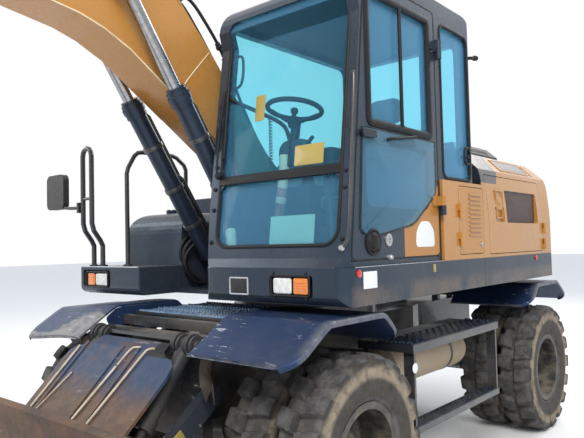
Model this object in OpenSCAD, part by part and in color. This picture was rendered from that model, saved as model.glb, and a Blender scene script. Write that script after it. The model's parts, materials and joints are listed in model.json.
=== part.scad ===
/* [Wheels] */
// Distance between the two axles
wheelbase = 2800; // [2600:10:3000]
// Place of the blade end axle in front of the slew axis
blade_axle_y = -1020; // [-1060:5:-980]
// Diameter over the lug tips of a tyre
tyre_d = 1055; // [1020:1:1070]
// Width of one tyre
tyre_w = 278; // [250:1:290]
// Diameter where the tyre sits on its rim
bead_d = 508; // [490:1:520]
// Distance between the two tyres of a pair
twin_pitch = 325; // [320:1:345]
// Distance between the middles of the left and right pairs
track_w = 1920; // [1900:5:1960]
// Number of lugs round one side of a tyre
lug_count = 18; // [14:1:22]
// Height of the lugs
lug_h = 24; // [16:1:28]
// Steering pin's distance from the centre line
kingpin_x = 620; // [610:1:625]

/* [Chassis] */
// Half width of the frame's middle
frame_half_w = 380; // [340:1:390]
// Underside of the frame
frame_z0 = 650; // [640:1:680]
// Top of the frame
frame_z1 = 1080; // [1040:1:1100]
// Outer diameter of the slewing ring
ring_d = 1080; // [1000:10:1140]
// Top of the fenders
fender_z = 1258; // [1240:1:1265]
// Thickness of the fender sheet
fender_t = 14; // [10:1:20]
// Height of the side step's tread
step_z = 1020; // [980:5:1040]

/* [Blade] */
// Width of the blade
blade_w = 2490; // [2300:10:2520]
// Top edge of the raised blade
blade_z1 = 800; // [780:1:820]
// Cutting edge of the raised blade
blade_z0 = 250; // [230:1:270]
// Place of the blade's back
blade_y = -2120; // [-2150:1:-2100]

/* [Upper structure] */
// Width over the sills
house_w = 2490; // [2400:10:2500]
// Front face in front of the slew axis
house_front = -1180; // [-1200:5:-1160]
// Radius of the tail
tail_r = 2330; // [2250:5:2350]
// Underside of the upper structure
deck_z = 1307; // [1300:1:1320]
// Top of the sill
sill_z = 1509; // [1490:1:1530]
// Foot of the engine cover's sloping shoulder
shoulder_z = 2158; // [2120:2:2200]
// Top of the engine cover
hood_z = 2318; // [2290:2:2340]
// Front wall of the engine compartment
body_y0 = 560; // [540:5:600]
// Length of the counterweight
weight_len = 530; // [500:5:560]

/* [Cab] */
// Inner side of the cab
cab_x0 = 153; // [150:1:170]
// Outer side of the cab
cab_x1 = 1225; // [1200:1:1230]
// Back of the cab
cab_y1 = 450; // [420:5:480]
// Top of the roof
cab_z1 = 3205; // [3150:5:3250]
// Thickness of the cab's walls
cab_t = 60; // [45:1:70]
// Thickness of the window glass
glass_t = 8; // [5:1:10]

/* [Boom and arm] */
// Place of the boom's middle plane
boom_x = -175; // [-178:1:-172]
// Width of the boom
boom_w = 306; // [280:1:306]
// Distance of each boom cylinder from the boom's middle plane
lift_x = 240; // [235:1:245]
// Length of the arm between its pivots
arm_len = 2550; // [2300:10:2600]
// Lean of the arm from upright towards the machine
arm_lean = 4; // [0:0.5:8]
// Width of the arm
arm_w = 210; // [190:1:210]
// Width of the bucket
bucket_w = 1000; // [800:10:1100]
// Number of teeth
tooth_count = 5; // [4:1:6]

/* [Hidden] */
$fn = 48;
gap = 0.4;
steer_axle_y = blade_axle_y + wheelbase;
axle_z = tyre_d / 2;
twin_x = track_w / 2;
hub_x = twin_x - 80;
half_w = house_w / 2;
pin_d = 90;
weight_y = tail_r - weight_len;
plate_x = boom_w / 2 + 3;
plate_t = 20;

// Boom foot, boom cylinder foot, boom cylinder head and boom tip, as [y, z]
foot = [-120, 1780];
lift_foot = [-540, 1450];
lift_head = [-1680, 3210];
tip = [-4406, 3450];
// Arm cylinder foot on the boom
stick_foot = [-2350, 3830];

// Unit vectors along the arm and towards its outer side, as [y, z]
along = [sin(arm_lean), -cos(arm_lean)];
outer = [-cos(arm_lean), -sin(arm_lean)];
wrist = tip + arm_len * along;
// A point of the arm: s along it from the wrist, t towards its outer side
function on_arm(s, t) = wrist + s * along + t * outer;

stick_head = on_arm(-arm_len - 523, 200);
crowd_foot = on_arm(454 - arm_len, 356);
rocker_pin = on_arm(-351, 52);
rocker_len = 483;
link_len = 421;
bucket_lever = 301;
bucket_ear = on_arm(bucket_lever * cos(64), bucket_lever * sin(64));

// Where circles about a and b cross, on the outer side of the arm
function cross_point(a, ra, b, rb) =
    let (d = b - a, l = norm(d), u = (ra * ra - rb * rb + l * l) / (2 * l))
    a + u * d / l + sqrt(ra * ra - u * u) * [d[1], -d[0]] / l;
rocker_tip = cross_point(rocker_pin, rocker_len, bucket_ear, link_len);

// Points on an arc about [a, b]
function arc(a, b, r, from, to, n = 6) =
    [for (i = [0:n]) let (t = from + (to - from) * i / n) [a + r * cos(t), b + r * sin(t)]];

// A box between two corners
module block(x0, x1, y0, y1, z0, z1) {
    translate([x0, y0, z0]) cube([x1 - x0, y1 - y0, z1 - z0]);
}

// A side view outline of [y, z] points, as thick as x0 to x1
module slab(x0, x1, points) {
    translate([x0, 0, 0]) rotate([90, 0, 90]) linear_extrude(x1 - x0) polygon(points);
}

// The same outline on both sides of a middle plane
module twin_slab(mid, inner, outer_x, points) {
    slab(mid - outer_x, mid - inner, points);
    slab(mid + inner, mid + outer_x, points);
}

// A round bar along x at p = [y, z]
module bar(d, x0, x1, p) {
    translate([x0, p[0], p[1]]) rotate([0, 90, 0]) cylinder(d = d, h = x1 - x0);
}

// A rectangle with round corners
module round_rect(a0, a1, b0, b1, r) {
    translate([a0 + r, b0]) square([a1 - a0 - 2 * r, b1 - b0]);
    translate([a0, b0 + r]) square([a1 - a0, b1 - b0 - 2 * r]);
    for (a = [a0 + r, a1 - r], b = [b0 + r, b1 - r]) translate([a, b]) circle(r);
}

// Round cornered plates seen from the side, the front and above
module side_pane(x0, x1, y0, y1, z0, z1, r) {
    translate([x0, 0, 0]) rotate([90, 0, 90]) linear_extrude(x1 - x0) round_rect(y0, y1, z0, z1, r);
}
module front_pane(y0, y1, x0, x1, z0, z1, r) {
    translate([0, y1, 0]) rotate([90, 0, 0]) linear_extrude(y1 - y0) round_rect(x0, x1, z0, z1, r);
}
module top_pane(z0, z1, x0, x1, y0, y1, r) {
    translate([0, 0, z0]) linear_extrude(z1 - z0) round_rect(x0, x1, y0, y1, r);
}

// A round tube through a list of points; side is a direction that no stretch runs along
module tube_path(points, d, side = [0, 1, 0]) {
    n = 12;
    last = len(points) - 1;
    unit = function(v) v / norm(v);
    rings = [for (i = [0:last])
        let (t = unit(unit(points[min(i + 1, last)] - points[min(i, last - 1)])
                + unit(points[max(i, 1)] - points[max(i - 1, 0)])),
            u = unit(cross(t, side)), w = cross(t, u))
        for (k = [0:n - 1]) points[i] + d / 2 * (cos(360 * k / n) * u + sin(360 * k / n) * w)];
    sides = [for (i = [0:last - 1], k = [0:n - 1])
        let (a = i * n + k, b = i * n + (k + 1) % n) [a, a + n, b + n, b]];
    polyhedron(rings, concat(sides, [[for (k = [0:n - 1]) k], [for (k = [n - 1:-1:0]) last * n + k]]));
}

// Things along a line from a to b, both [y, z]: the child lies along +z from 0
module aim(x, a, b) {
    v = b - a;
    translate([x, a[0], a[1]]) rotate([atan2(v[1], v[0]) - 90, 0, 0]) children();
}

// Wheels

tyre_r = tyre_d / 2;
bead_r = bead_d / 2;
rim_half = 98;

// Half section of a tyre's carcass as [radius, x], up to the bottom of the grooves
groove_r = tyre_r - lug_h;
tread_half = tyre_w / 2 - 17;
module tyre_section() {
    half = [[bead_r + 0.4, rim_half + 1.5], [bead_r + 27, rim_half + 1.5], [bead_r + 34, rim_half + 19],
        [bead_r + 76, tyre_w / 2 - 7], [bead_r + 130, tyre_w / 2], [groove_r - 72, tyre_w / 2 - 3],
        [groove_r - 34, tyre_w / 2 - 12], [groove_r, tread_half - 14]];
    polygon(concat(half, [for (i = [len(half) - 1:-1:0]) [half[i][0], -half[i][1]]]));
}

// One side's lugs: the outline of a ring whose lugs stand on the grooves' floor
lug_pitch = 360 / lug_count;
module lug_ring() {
    linear_extrude(tread_half) difference() {
        polygon([for (i = [0:lug_count - 1], c = [[-0.37, 0], [-0.31, 1], [0, 1], [0.31, 1], [0.37, 0]])
            let (r = groove_r + 1 + (lug_h - 1) * c[1], a = (i + c[0]) * lug_pitch) [r * cos(a),
                r * sin(a)]]);
        circle(groove_r - 30);
    }
}

module on_wheel(side, y) {
    translate([side * twin_x, y, axle_z]) rotate([0, 90, 0]) children();
}

module tyres(side, y) {
    color([0.17, 0.165, 0.16])
    on_wheel(side, y)
    for (x = [-1, 1]) translate([0, 0, x * twin_pitch / 2]) {
        rotate_extrude($fn = 64) tyre_section();
        lug_ring();
        rotate(lug_pitch / 2) translate([0, 0, -tread_half]) lug_ring();
    }
}

// Two rims, their discs bolted back to back, with the hub drum in the middle
module rims(side, y) {
    mid = twin_pitch / 2;
    half = rim_half + 14;
    disc = 12;
    color([0.1, 0.1, 0.11])
    on_wheel(side, y) mirror([0, 0, side < 0 ? 1 : 0]) {
        rotate_extrude($fn = 64) {
            for (x = [-1, 1]) translate([0, x * mid]) {
                translate([bead_r - 12, -half]) square([12, 2 * half]);
                translate([bead_r - 12, rim_half + 2]) square([38, 12]);
                translate([bead_r - 12, -half]) square([38, 12]);
            }
            for (x = [-1, 1]) scale([1, x])
                polygon([[150, 0], [190, 0], [bead_r - 10, mid - half], [bead_r - 10, mid - half + 16],
                    [bead_r - 24, mid - half + 16], [186, disc], [150, disc]]);
            translate([70.5, -80]) square([84, 100]);
            translate([0, 30]) square([118, 90]);
            translate([70.5, 10]) square([70, 40]);
            translate([0, 100]) polygon([[0, 0], [118, 0], [118, 20], [96, 38], [0, 42]]);
        }
        for (a = [0:36:324]) rotate(a) translate([130, 0, 10]) cylinder(d = 26, h = 34, $fn = 24);
    }
}

// Chassis

beam_y = [blade_axle_y - 20, blade_axle_y - 240, steer_axle_y - 140, steer_axle_y + 160];
module chassis_frame() {
    color([0.13, 0.15, 0.19]) difference() {
        union() {
            translate([0, 0, frame_z0]) linear_extrude(frame_z1 - frame_z0)
                polygon([[-frame_half_w, -1400], [frame_half_w, -1400], [frame_half_w, 1000], [320, 1200],
                    [320, 2260], [-320, 2260], [-320, 1200], [-frame_half_w, 1000]]);
            translate([0, 0, frame_z1 - 30]) cylinder(d = ring_d + 140, h = 40, $fn = 96);
            translate([0, 0, frame_z1 - 10]) cylinder(d = ring_d + 20, h = 130, $fn = 96);
            translate([0, 0, frame_z1 + 110]) cylinder(d = ring_d, h = deck_z - frame_z1 - 160, $fn = 96);
            // Bracket for the blade: its top plate, its pins with caps, and the ears for the cylinders
            block(-bracket_x, bracket_x, -1460, -1390, 560, 1140);
            block(-318, 318, -1540, -1390, 1120, 1140);
            for (s = [-1, 1]) bar(blade_pin, s * (bracket_x + 45) - 50, s * (bracket_x + 45) + 50,
                blade_pivot);
            for (s = [-1, 1]) bar(110, s * (arm_x + 38) - 6, s * (arm_x + 38) + 6, blade_pivot);
            for (s = [-1, 1]) bar(130, s * (bracket_x - 20) - 30, s * (bracket_x - 20) + 30, blade_pivot);
            twin_slab(0, 330, 355, top_ear);
            twin_slab(0, 445, 470, top_ear);
            // Pads on the axles
            block(-300, 300, blade_axle_y - 130, blade_axle_y + 130, axle_z + 90, frame_z0 + 10);
            block(-220, 220, steer_axle_y - 110, steer_axle_y + 110, axle_z + 90, frame_z0 + 10);
            // Coupling eye at the steering end
            block(-110, 110, 2250, 2300, 700, 900);
            for (z = [740, 830]) block(-70, 70, 2290, 2400, z, z + 28);
            // Cross beams that carry the fenders and steps
            for (y = beam_y)
                block(-fender_x + gap, fender_x - gap, y - 25, y + 25, 1130, 1190);
            for (y = beam_y)
                for (x = [-300, 240]) block(x, x + 60, y - 25, y + 25, 1070, 1140);
            for (y = [-380, 300]) block(-640, 640, y - 30, y + 30, 860, 940);
            // Tread deck between the blade end fenders
            block(-fender_x + 4, fender_x - 4, -1190, -560, 1185, 1205);
        }
        bar(51, -480, 480, blade_lift_top);
        translate([0, 2350, 700]) cylinder(d = 50, h = 200);
    }
}
blade_pin = 60;
blade_pivot = [-1430, 830];
bracket_x = 455;
arm_x = 500;
blade_lift_top = [-1515, 1100];
blade_lift_foot = [-1990, 480];
top_ear = concat([[-1400, 1020], [-1400, 1140]], arc(blade_lift_top[0], blade_lift_top[1], 45, 100,
    250, 6));

module axle_housing(reach) {
    bar(190, -reach, reach, [0, 0]);
    rotate([0, 90, 0]) rotate_extrude($fn = 64)
        polygon([[0, -250], [110, -250], [185, -110], [195, 0], [185, 110], [110, 250], [0, 250]]);
}

module rigid_axle() {
    color([0.14, 0.15, 0.17]) translate([0, blade_axle_y, axle_z]) {
        difference() {
            axle_housing(720);
            block(-310, 310, -210, 210, 89.6, 300);
        }
        for (s = [-1, 1]) bar(140, s > 0 ? 700 : -hub_x - 90, s > 0 ? hub_x + 90 : -700, [0, 0]);
        for (s = [-1, 1]) translate([s * 700, 0, 0]) rotate([0, 90, 0]) cylinder(d = 300, h = 60,
            center = true);
    }
}

// Swing beam with an eye at each end for the steering pin
module steer_axle() {
    color([0.14, 0.15, 0.17]) translate([0, steer_axle_y, axle_z]) difference() {
        union() {
            difference() {
                axle_housing(kingpin_x - 70);
                block(-310, 310, -210, 210, 89.6, 300);
            }
            for (s = [-1, 1]) translate([s * kingpin_x, 0, -70]) cylinder(d = 130, h = 140);
            bar(130, -kingpin_x, kingpin_x, [0, 0]);
        }
        for (s = [-1, 1]) translate([s * kingpin_x, 0, -80]) cylinder(d = 71, h = 160);
        for (s = [-1, 1]) translate([s * (kingpin_x + 120), 0, 0]) cube([100, 300, 300], center = true);
    }
}

// Upright that carries a steered wheel pair, with the steering arm behind it
module knuckle(side) {
    color([0.15, 0.16, 0.18])
    translate([side * kingpin_x, steer_axle_y, axle_z]) mirror([side < 0 ? 1 : 0, 0, 0]) {
        for (z = [-112, 72]) translate([0, 0, z]) cylinder(d = 126, h = 40);
        for (z = [-112, 72]) block(0, 110, -55, 55, z, z + 40);
        translate([0, 0, -112]) cylinder(d = 70, h = 224);
        block(74, 124, -70, 70, -112, 112);
        translate([100, 0, 0]) rotate([0, 90, 0]) cylinder(d = 300, h = 60);
        translate([150, 0, 0]) rotate([0, 90, 0]) cylinder(d = 140, h = hub_x + 90 - kingpin_x - 150);
        block(-28, 28, 40, 230, -112, -86);
        translate([0, 230, -112]) cylinder(d = 56, h = 26);
        translate([0, 230, -160]) cylinder(d = 28, h = 50);
    }
}

module tie_rod() {
    color([0.2, 0.2, 0.22]) translate([0, steer_axle_y + 230, axle_z - 136]) difference() {
        union() {
            bar(44, -590, 590, [0, 0]);
            for (s = [-1, 1]) translate([s * kingpin_x, 0, -23.6]) cylinder(d = 64, h = 47.2);
        }
        for (s = [-1, 1]) translate([s * kingpin_x, 0, -40]) cylinder(d = 28.8, h = 80);
    }
}

// Gearbox under the frame, with a shaft to each axle
module driveline() {
    color([0.2, 0.2, 0.21]) {
        block(-190, 190, -80, 280, 470, 649.6);
        bar(250, -150, 150, [100, 520]);
        for (y = [[blade_axle_y + 196, -70], [270, steer_axle_y - 196]])
            translate([0, y[0], axle_z]) rotate([-90, 0, 0]) cylinder(d = 80, h = y[1] - y[0]);
        for (y = [blade_axle_y + 196, -150, 280, steer_axle_y - 266])
            translate([0, y, axle_z]) rotate([-90, 0, 0]) cylinder(d = 130, h = 70);
    }
}

// One fender: side view outline of its sheet, open below
function fender_line(y0, y1, t) = let (low = fender_z - 186) [
    [y0 - fender_front + t, low], [y0 - fender_front + t * 1.5, low + 14], [y0 - 45, fender_z - t - 26],
    [y0 - 15, fender_z - t - 9], [y0 + 22, fender_z - t], [y1 - 30, fender_z - t - 2],
        [y1 + 2, fender_z - t - 8],
    [y1 + 24, fender_z - t - 27], [y1 + fender_back - t * 1.4, low + 16], [y1 + fender_back - t, low]];
fender_x = 535;
fender_front = 300;
fender_back = 193;

module fender(x0, x1, y0, y1) {
    outer_line = fender_line(y0, y1, 0);
    inner_line = fender_line(y0, y1, fender_t);
    intersection() {
        union() {
            slab(x0, x1, concat(outer_line, [for (i = [len(inner_line) - 1:-1:0]) inner_line[i]]));
            // Rim turned down along the outer edge
            rim_line = fender_line(y0, y1, 30);
            slab(x1 - 10, x1, concat([for (i = [1:8]) outer_line[i]], [for (i = [8:-1:1]) rim_line[i]]));
        }
        linear_extrude(2000) round_rect(x0 - 200, x1, y0 - fender_front - 1, y1 + fender_back + 1, 110);
    }
    // Upright plate along the inner edge
    slab(x0, x0 + 12, [[y0 - 90, fender_z - 80], [y0, fender_z - 16], [y1, fender_z - 16],
        [y1 + 80, fender_z - 90],
        [y1 + 30, fender_z - 190], [y0 - 20, fender_z - 190]]);
}

module fenders() {
    color([0.11, 0.14, 0.22])
    for (s = [-1, 1]) mirror([s < 0 ? 1 : 0, 0, 0]) {
        fender(fender_x, half_w + 5, blade_axle_y - 310, blade_axle_y + 187);
        translate([0, steer_axle_y, 0]) mirror([0, 1, 0]) fender(fender_x, half_w + 5, -310, 187);
    }
}

// Step on the cab side: tread, legs and the lower rung, with a round air tank behind
module side_step() {
    color([0.12, 0.13, 0.15]) {
        block(800, 1200, -460, 820, step_z - 50, step_z);
        for (y = [-440, 780]) block(1120, 1190, y, y + 20, 500, step_z - 40);
        block(1090, 1200, -440, 800, 490, 530);
        for (y = [-400, 280]) block(640.4, 820, y, y + 60, 860, 940);
        for (y = [-400, 280]) block(800, 840, y, y + 60, 860, step_z - 30);
        block(700, 720, -300, 660, 800, 860);
    }
    color([0.62, 0.5, 0.33])
        translate([880, -330, 830]) rotate([-90, 0, 0]) cylinder(d = 260, h = 980);
}

module tool_box() {
    color([0.12, 0.13, 0.15]) {
        side_pane(-1200, -700, -460, 820, 520, step_z, 40);
        for (y = [-400, 280]) block(-710, -640.4, y, y + 60, 860, 940);
        for (y = [-420, 200]) side_pane(-1212, -1195, y, y + 560, 580, 940, 20);
    }
}

// Blade

// Curved plate: its front face is an arc that opens forward
module blade() {
    zc = (blade_z0 + blade_z1) / 2;
    h = blade_z1 - blade_z0;
    r = 700;
    a = asin(h / 2 / r);
    // Both faces are arcs about one line in front of the blade
    cy = blade_y - 45 - r * cos(a);
    front = arc(cy, zc, r, -a, a, 10);
    back = arc(cy, zc, r + 40, a, -a, 10);
    color([0.15, 0.13, 0.13]) difference() {
        union() {
            slab(-blade_w / 2, blade_w / 2, concat(front, back));
            block(-blade_w / 2, blade_w / 2, blade_y - 62, blade_y - 40, blade_z0 - 4, blade_z0 + 130);
            // Lift arms with an eye at the frame, as [y, z]
            arm_line = [blade_pivot, [blade_y + 35, 360]];
            for (s = [-1, 1]) lever(s * arm_x - 30, s * arm_x + 30, arm_line[0], arm_line[1], 110, 100);
            // Webs under the cover plate
            for (s = [-1, 1]) slab(s * 262.5 - 20, s * 262.5 + 20,
                [[-1640, 1056], [-1995, 720], [-2085, 700], [-2085, 430], [-1960, 520], [-1660, 900]]);
            // Brackets for the cylinder rods
            for (s = [-1, 1], x = [-52, 38]) translate([s * 400 + x, 0, 0])
                slab(0, 14, concat([[blade_y + 5, 390], [blade_y + 5, 580]],
                    [for (p = arc(blade_lift_foot[0], blade_lift_foot[1], 50, 80, -80, 6)) p]));
            // Cover plate, steeper below its bend, with three ribs
            intersection() {
                slab(-505, 505, [[-1566, 1090], [-1640, 1052], [-1990, 716], [-2002, 728],
                    [-1648, 1068], [-1566, 1108]]);
                linear_extrude(2000) polygon([[-318, -1560], [318, -1560], [352, -1636], [400, -1662],
                    [455, -1670], [492, -1694],
                    [505, -1740], [480, -2100], [-480, -2100], [-505, -1740], [-492, -1694], [-455, -1670],
                    [-400, -1662], [-352, -1636]]);
            }
            for (x = [-370, -12, 140]) slab(x - 13, x + 13,
                [[-1620, 1070], [-1648, 1078], [-1998, 742], [-1990, 722], [-1700, 1004]]);
        }
        for (s = [-1, 1]) bar(blade_pin + 0.8, s * arm_x - 60, s * arm_x + 60, blade_pivot);
    }
}

module blade_cylinders() {
    color([0.12, 0.12, 0.13]) for (s = [-1, 1]) {
        bar(50.2, s * 400 - 68, s * 400 + 68, blade_lift_top);
        bar(86, s * 400 - 40, s * 400 + 40, blade_lift_top);
        aim(s * 400, blade_lift_top, blade_lift_foot) difference() {
            union() {
                cylinder(d = 74, h = 80);
                translate([0, 0, 60]) cylinder(d = 92, h = 430);
                translate([0, 0, 430]) cylinder(d = 104, h = 60);
            }
            translate([0, 0, 110]) cylinder(d = 51, h = 400);
        }
    }
}

module blade_rods() {
    l = norm(blade_lift_foot - blade_lift_top);
    color([0.75, 0.76, 0.78]) for (s = [-1, 1]) {
        aim(s * 400, blade_lift_top, blade_lift_foot) translate([0, 0, 150]) cylinder(d = 50, h = l - 180);
        bar(80, s * 400 - 37.7, s * 400 + 37.7, blade_lift_foot);
    }
}

// Upper structure

// Depth of the lips in front of the deck plate, and the platform's top and inner side
lip_t = 43.6;
rail_z = sill_z - 7;
bay_x = -505;
// Cuts away the lower front edge of the upper structure
module front_edge() {
    r = 62;
    z = deck_z;
    slab(-1400, 1400, concat([[house_front - 1, z - 1]], [[house_front + r, z - 1]],
        arc(house_front + r, z + r, r, 270, 180, 6), [[house_front - 1, z + r]]));
}

// Plan outline, inset by d, with a round tail
function plan(d) =
    let (a = acos((half_w - d) / (tail_r - d)))
    concat([[half_w - d, house_front + d]], arc(0, 0, tail_r - d, a, 180 - a, 24), [[-half_w + d,
        house_front + d]]);

module upper_frame() {
    color([0.16, 0.18, 0.23]) difference() {
        union() {
            translate([0, 0, deck_z]) linear_extrude(30) polygon(plan(44));
            difference() {
                translate([0, 0, deck_z]) linear_extrude(sill_z - deck_z) polygon(plan(0));
                translate([0, 0, deck_z + 20]) linear_extrude(sill_z) polygon(plan(40));
                block(-1300, 1300, -1300, 520, deck_z - 10, sill_z + 10);
            }
            translate([0, 0, deck_z - 49.5]) cylinder(d = ring_d - 40, h = 60, $fn = 96);
            twin_slab(boom_x, plate_x, plate_x + plate_t, foot_plate);
            for (s = [-1, 1]) bar(200, boom_x + s * 178 - 22, boom_x + s * 178 + 22, foot);
            bar(pin_d, boom_x - 210, boom_x + 210, foot);
            bar(80, boom_x - lift_x - 40, boom_x - plate_x, lift_foot);
            bar(80, boom_x + plate_x, boom_x + lift_x + 40, lift_foot);
            block(boom_x - 165, boom_x + 165, 300, 340, deck_z + 10, 1800);
        }
        // Boom bay, open at the front
        block(-505, 153, house_front - 10, -860, deck_z - 5, deck_z + 60);
    }
}
foot_plate = concat([[740, deck_z + 10], [-700, deck_z + 10]],
    arc(lift_foot[0], lift_foot[1], 88, 200, 110, 4), [[-330, 1700]],
    arc(foot[0], foot[1], 130, 165, 20, 8), [[260, 1740], [530, 1500], [740, 1420]]);

// Closed deck under the cab with the head lamp recess and the left sill
module cab_deck() {
    color([0.2, 0.23, 0.29]) difference() {
        union() {
            difference() {
                top_pane(deck_z, sill_z, cab_x0, half_w, house_front, 519.6, 80);
                block(cab_x0 - 1, half_w - 40, -200, 530, deck_z, sill_z - 40);
                block(cab_x0 - 1, half_w - lip_t, house_front + lip_t, 530, deck_z - 1, deck_z + 30.4);
            }
            top_pane(deck_z, sill_z, half_w - 40, half_w, -300, 519.6, 4);
        }
        front_pane(house_front - 10, house_front + 60, 710, 1020, 1352, 1470, 18);
        front_edge();
    }
}

module lamps() {
    // Clear and amber lenses, amber to the outside, as [x0, x1]
    color([0.85, 0.86, 0.84]) for (x = [[735, 868], [-1044, -893]])
        front_pane(house_front + 14, house_front + 59.6, x[0], x[1], 1366, 1456, 16);
    color([0.9, 0.45, 0.12]) for (x = [[882, 985], [-1150, -1060]])
        front_pane(house_front + 14, house_front + 59.6, x[0], x[1], 1366, 1456, 12);
    color([0.8, 0.1, 0.08]) for (y = [-1080, 1560]) translate([half_w + 0.4, y, 1478])
        rotate([0, 90, 0]) cylinder(d = 30, h = 12);
}

// Cab

// Side view of the cab, inset by d
function cab_line(d) = concat(
    [[-1180 + d * 1.02, sill_z + 0.4 + (d > 0 ? 10 : 0)], [-1150 + d * 1.02, 1560 + d * 0.3],
        [-972 + d * 1.02, 2900]],
    arc(-772, 2975, 230 - d, 172, 95, 6),
    arc(cab_y1 - 140, cab_z1 - 140, 140 - d, 90, 0, 5),
    [[cab_y1 - d, sill_z + 0.4 + (d > 0 ? 10 : 0)]]);

module cab_solid(d) {
    intersection() {
        slab(cab_x0 + d, cab_x1 - d, cab_line(d));
        top_pane(1000, 4000, cab_x0 + d, cab_x1 - d, -1400, cab_y1 - d, 70 - d / 2);
        translate([0, 0, 0]) top_pane(1000, 4000, cab_x0 + d, cab_x1 - d, -1182 + d, 1000, 90 - d / 2);
    }
}

// Window cut-outs, grown by g: front upper and lower, rear quarter, right, rear
module front_windows(g) {
    front_pane(-1400, -800, cab_x0 + 90 - g, cab_x1 - 75 + g, 2062 - g, 3060 + g, 60);
    front_pane(-1400, -800, cab_x0 + 90 - g, cab_x1 - 75 + g, 1640 - g, 2012 + g, 50);
}
module side_windows(g) {
    side_pane(cab_x1 - 80, cab_x1 + 10, -45 - g, cab_y1 - 80 + g, 2045 - g, 3060 + g, 60);
    side_pane(cab_x0 - 10, cab_x0 + 80, -940 - g, cab_y1 - 80 + g, 2045 - g, 3040 + g, 60);
    front_pane(cab_y1 - 80, cab_y1 + 10, cab_x0 + 110 - g, cab_x1 - 110 + g, 2200 - g, 3040 + g, 60);
}

door_y1 = -125;
module door_line(g) {
    polygon([[-1110 + g, 1540 + g], [door_y1 - g, 1540 + g], [door_y1 - g, 3110 - g], [-880 + g, 3110 - g],
        [-945 + g, 2960 - g]]);
}

module cab_shell() {
    color([0.2, 0.22, 0.27]) difference() {
        cab_solid(0);
        cab_solid(cab_t);
        front_windows(0);
        side_windows(0);
        translate([cab_x1 - cab_t - 10, 0, 0]) rotate([90, 0, 90]) linear_extrude(100) door_line(0);
    }
    // Hinge halves for the door
    color([0.12, 0.13, 0.15]) for (z = [1800, 2800]) {
        translate([hinge[0], hinge[1], z]) cylinder(d = 36, h = 60);
        block(cab_x1 - 4, hinge[0], hinge[1] + 8, hinge[1] + 22, z, z + 60);
        block(cab_x1 - 10, cab_x1 + 10, hinge[1] + 8, hinge[1] + 28, z, z + 60);
    }
}
hinge = [cab_x1 + 38, -135];

module cab_glass() {
    color([0.45, 0.68, 0.72, 0.4]) {
        intersection() {
            front_windows(-gap);
            difference() {
                cab_solid(20);
                cab_solid(20 + glass_t);
            }
        }
        intersection() {
            side_windows(-gap);
            union() {
                block(cab_x1 - 20 - glass_t, cab_x1 - 20, -1000, cab_y1 - 60, 1600, 3100);
                block(cab_x0 + 20, cab_x0 + 20 + glass_t, -1000, cab_y1 - 60, 1600, 3100);
                block(cab_x0 + 100, cab_x1 - 100, cab_y1 - 20 - glass_t, cab_y1 - 20, 1600, 3100);
            }
        }
    }
}

module door_windows(g) {
    side_pane(cab_x1 - 80, cab_x1 + 10, -905 - g, -215 + g, 2300 - g, 3030 + g, 70);
    side_pane(cab_x1 - 80, cab_x1 + 10, -950 - g, -250 + g, 1830 - g, 2195 + g, 60);
}

module cab_door() {
    color([0.2, 0.22, 0.27]) difference() {
        translate([cab_x1 - cab_t, 0, 0]) rotate([90, 0, 90]) linear_extrude(cab_t) door_line(5);
        door_windows(0);
    }
    color([0.12, 0.13, 0.15]) for (z = [1860.5, 2860.5]) {
        translate([hinge[0], hinge[1], z]) cylinder(d = 36, h = 60);
        block(cab_x1 - 4, hinge[0], hinge[1] - 22, hinge[1] - 8, z, z + 60);
        block(cab_x1 - 10, cab_x1 + 10, hinge[1] - 80, hinge[1] - 8, z, z + 60);
    }
    color([0.1, 0.1, 0.1]) side_pane(cab_x1 - 1, cab_x1 + 26, -1008, -870, 2205, 2245, 15);
}

module door_glass() {
    color([0.45, 0.68, 0.72, 0.4]) intersection() {
        door_windows(-gap);
        block(cab_x1 - 20 - glass_t, cab_x1 - 20, -1200, 0, 1600, 3100);
    }
}

seat_x = 650;
module seat_base() {
    color([0.12, 0.12, 0.13]) {
        block(seat_x - 220, seat_x + 220, -380, 60, sill_z + 10.8, 1700);
        block(seat_x - 180, seat_x + 180, -340, 20, 1700, 1860);
        for (s = [-1, 1]) block(seat_x + s * 300 - 60, seat_x + s * 300 + 60, -420, 120, 1700, 2050);
        for (s = [-1, 1]) block(seat_x + s * 230 - 60, seat_x + s * 230 + 60, -300, 100, 1700, 1760);
        for (s = [-1, 1]) translate([seat_x + s * 300, -360, 2050]) cylinder(d = 26, h = 130);
        for (s = [-1, 1]) translate([seat_x + s * 300, -360, 2190]) sphere(d = 62);
        block(seat_x - 200, seat_x + 200, 100, 140, 1700, 1980);
    }
}

module seat_cushions() {
    color([0.2, 0.2, 0.22]) {
        top_pane(1860.3, 1980, seat_x - 230, seat_x + 230, -400, 95, 50);
        front_pane(140.3, 260, seat_x - 225, seat_x + 225, 1900, 2500, 60);
        front_pane(160, 245, seat_x - 130, seat_x + 130, 2500.3, 2700, 40);
    }
}

wheel_c = [600, -785, 2395];
module console() {
    color([0.13, 0.13, 0.14]) {
        tube_path([[600, -860, sill_z + 14], [600, -830, 2120], wheel_c - [0, 20, 30]], 70);
        block(520, 680, -900, -790, sill_z + 10.8, 1640);
        translate(wheel_c) rotate([24, 0, 0]) {
            rotate_extrude() translate([172, 0]) circle(15, $fn = 24);
            for (a = [90, 210, 330]) rotate(a) translate([0, -16, -5]) cube([170, 32, 10]);
            translate([0, 0, -40]) cylinder(d = 80, h = 50);
        }
        block(960, 1040, -1000, -900, 1900, 2180);
        block(985, 1015, -990, -960, sill_z + 10.8, 1910);
    }
}

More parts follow.
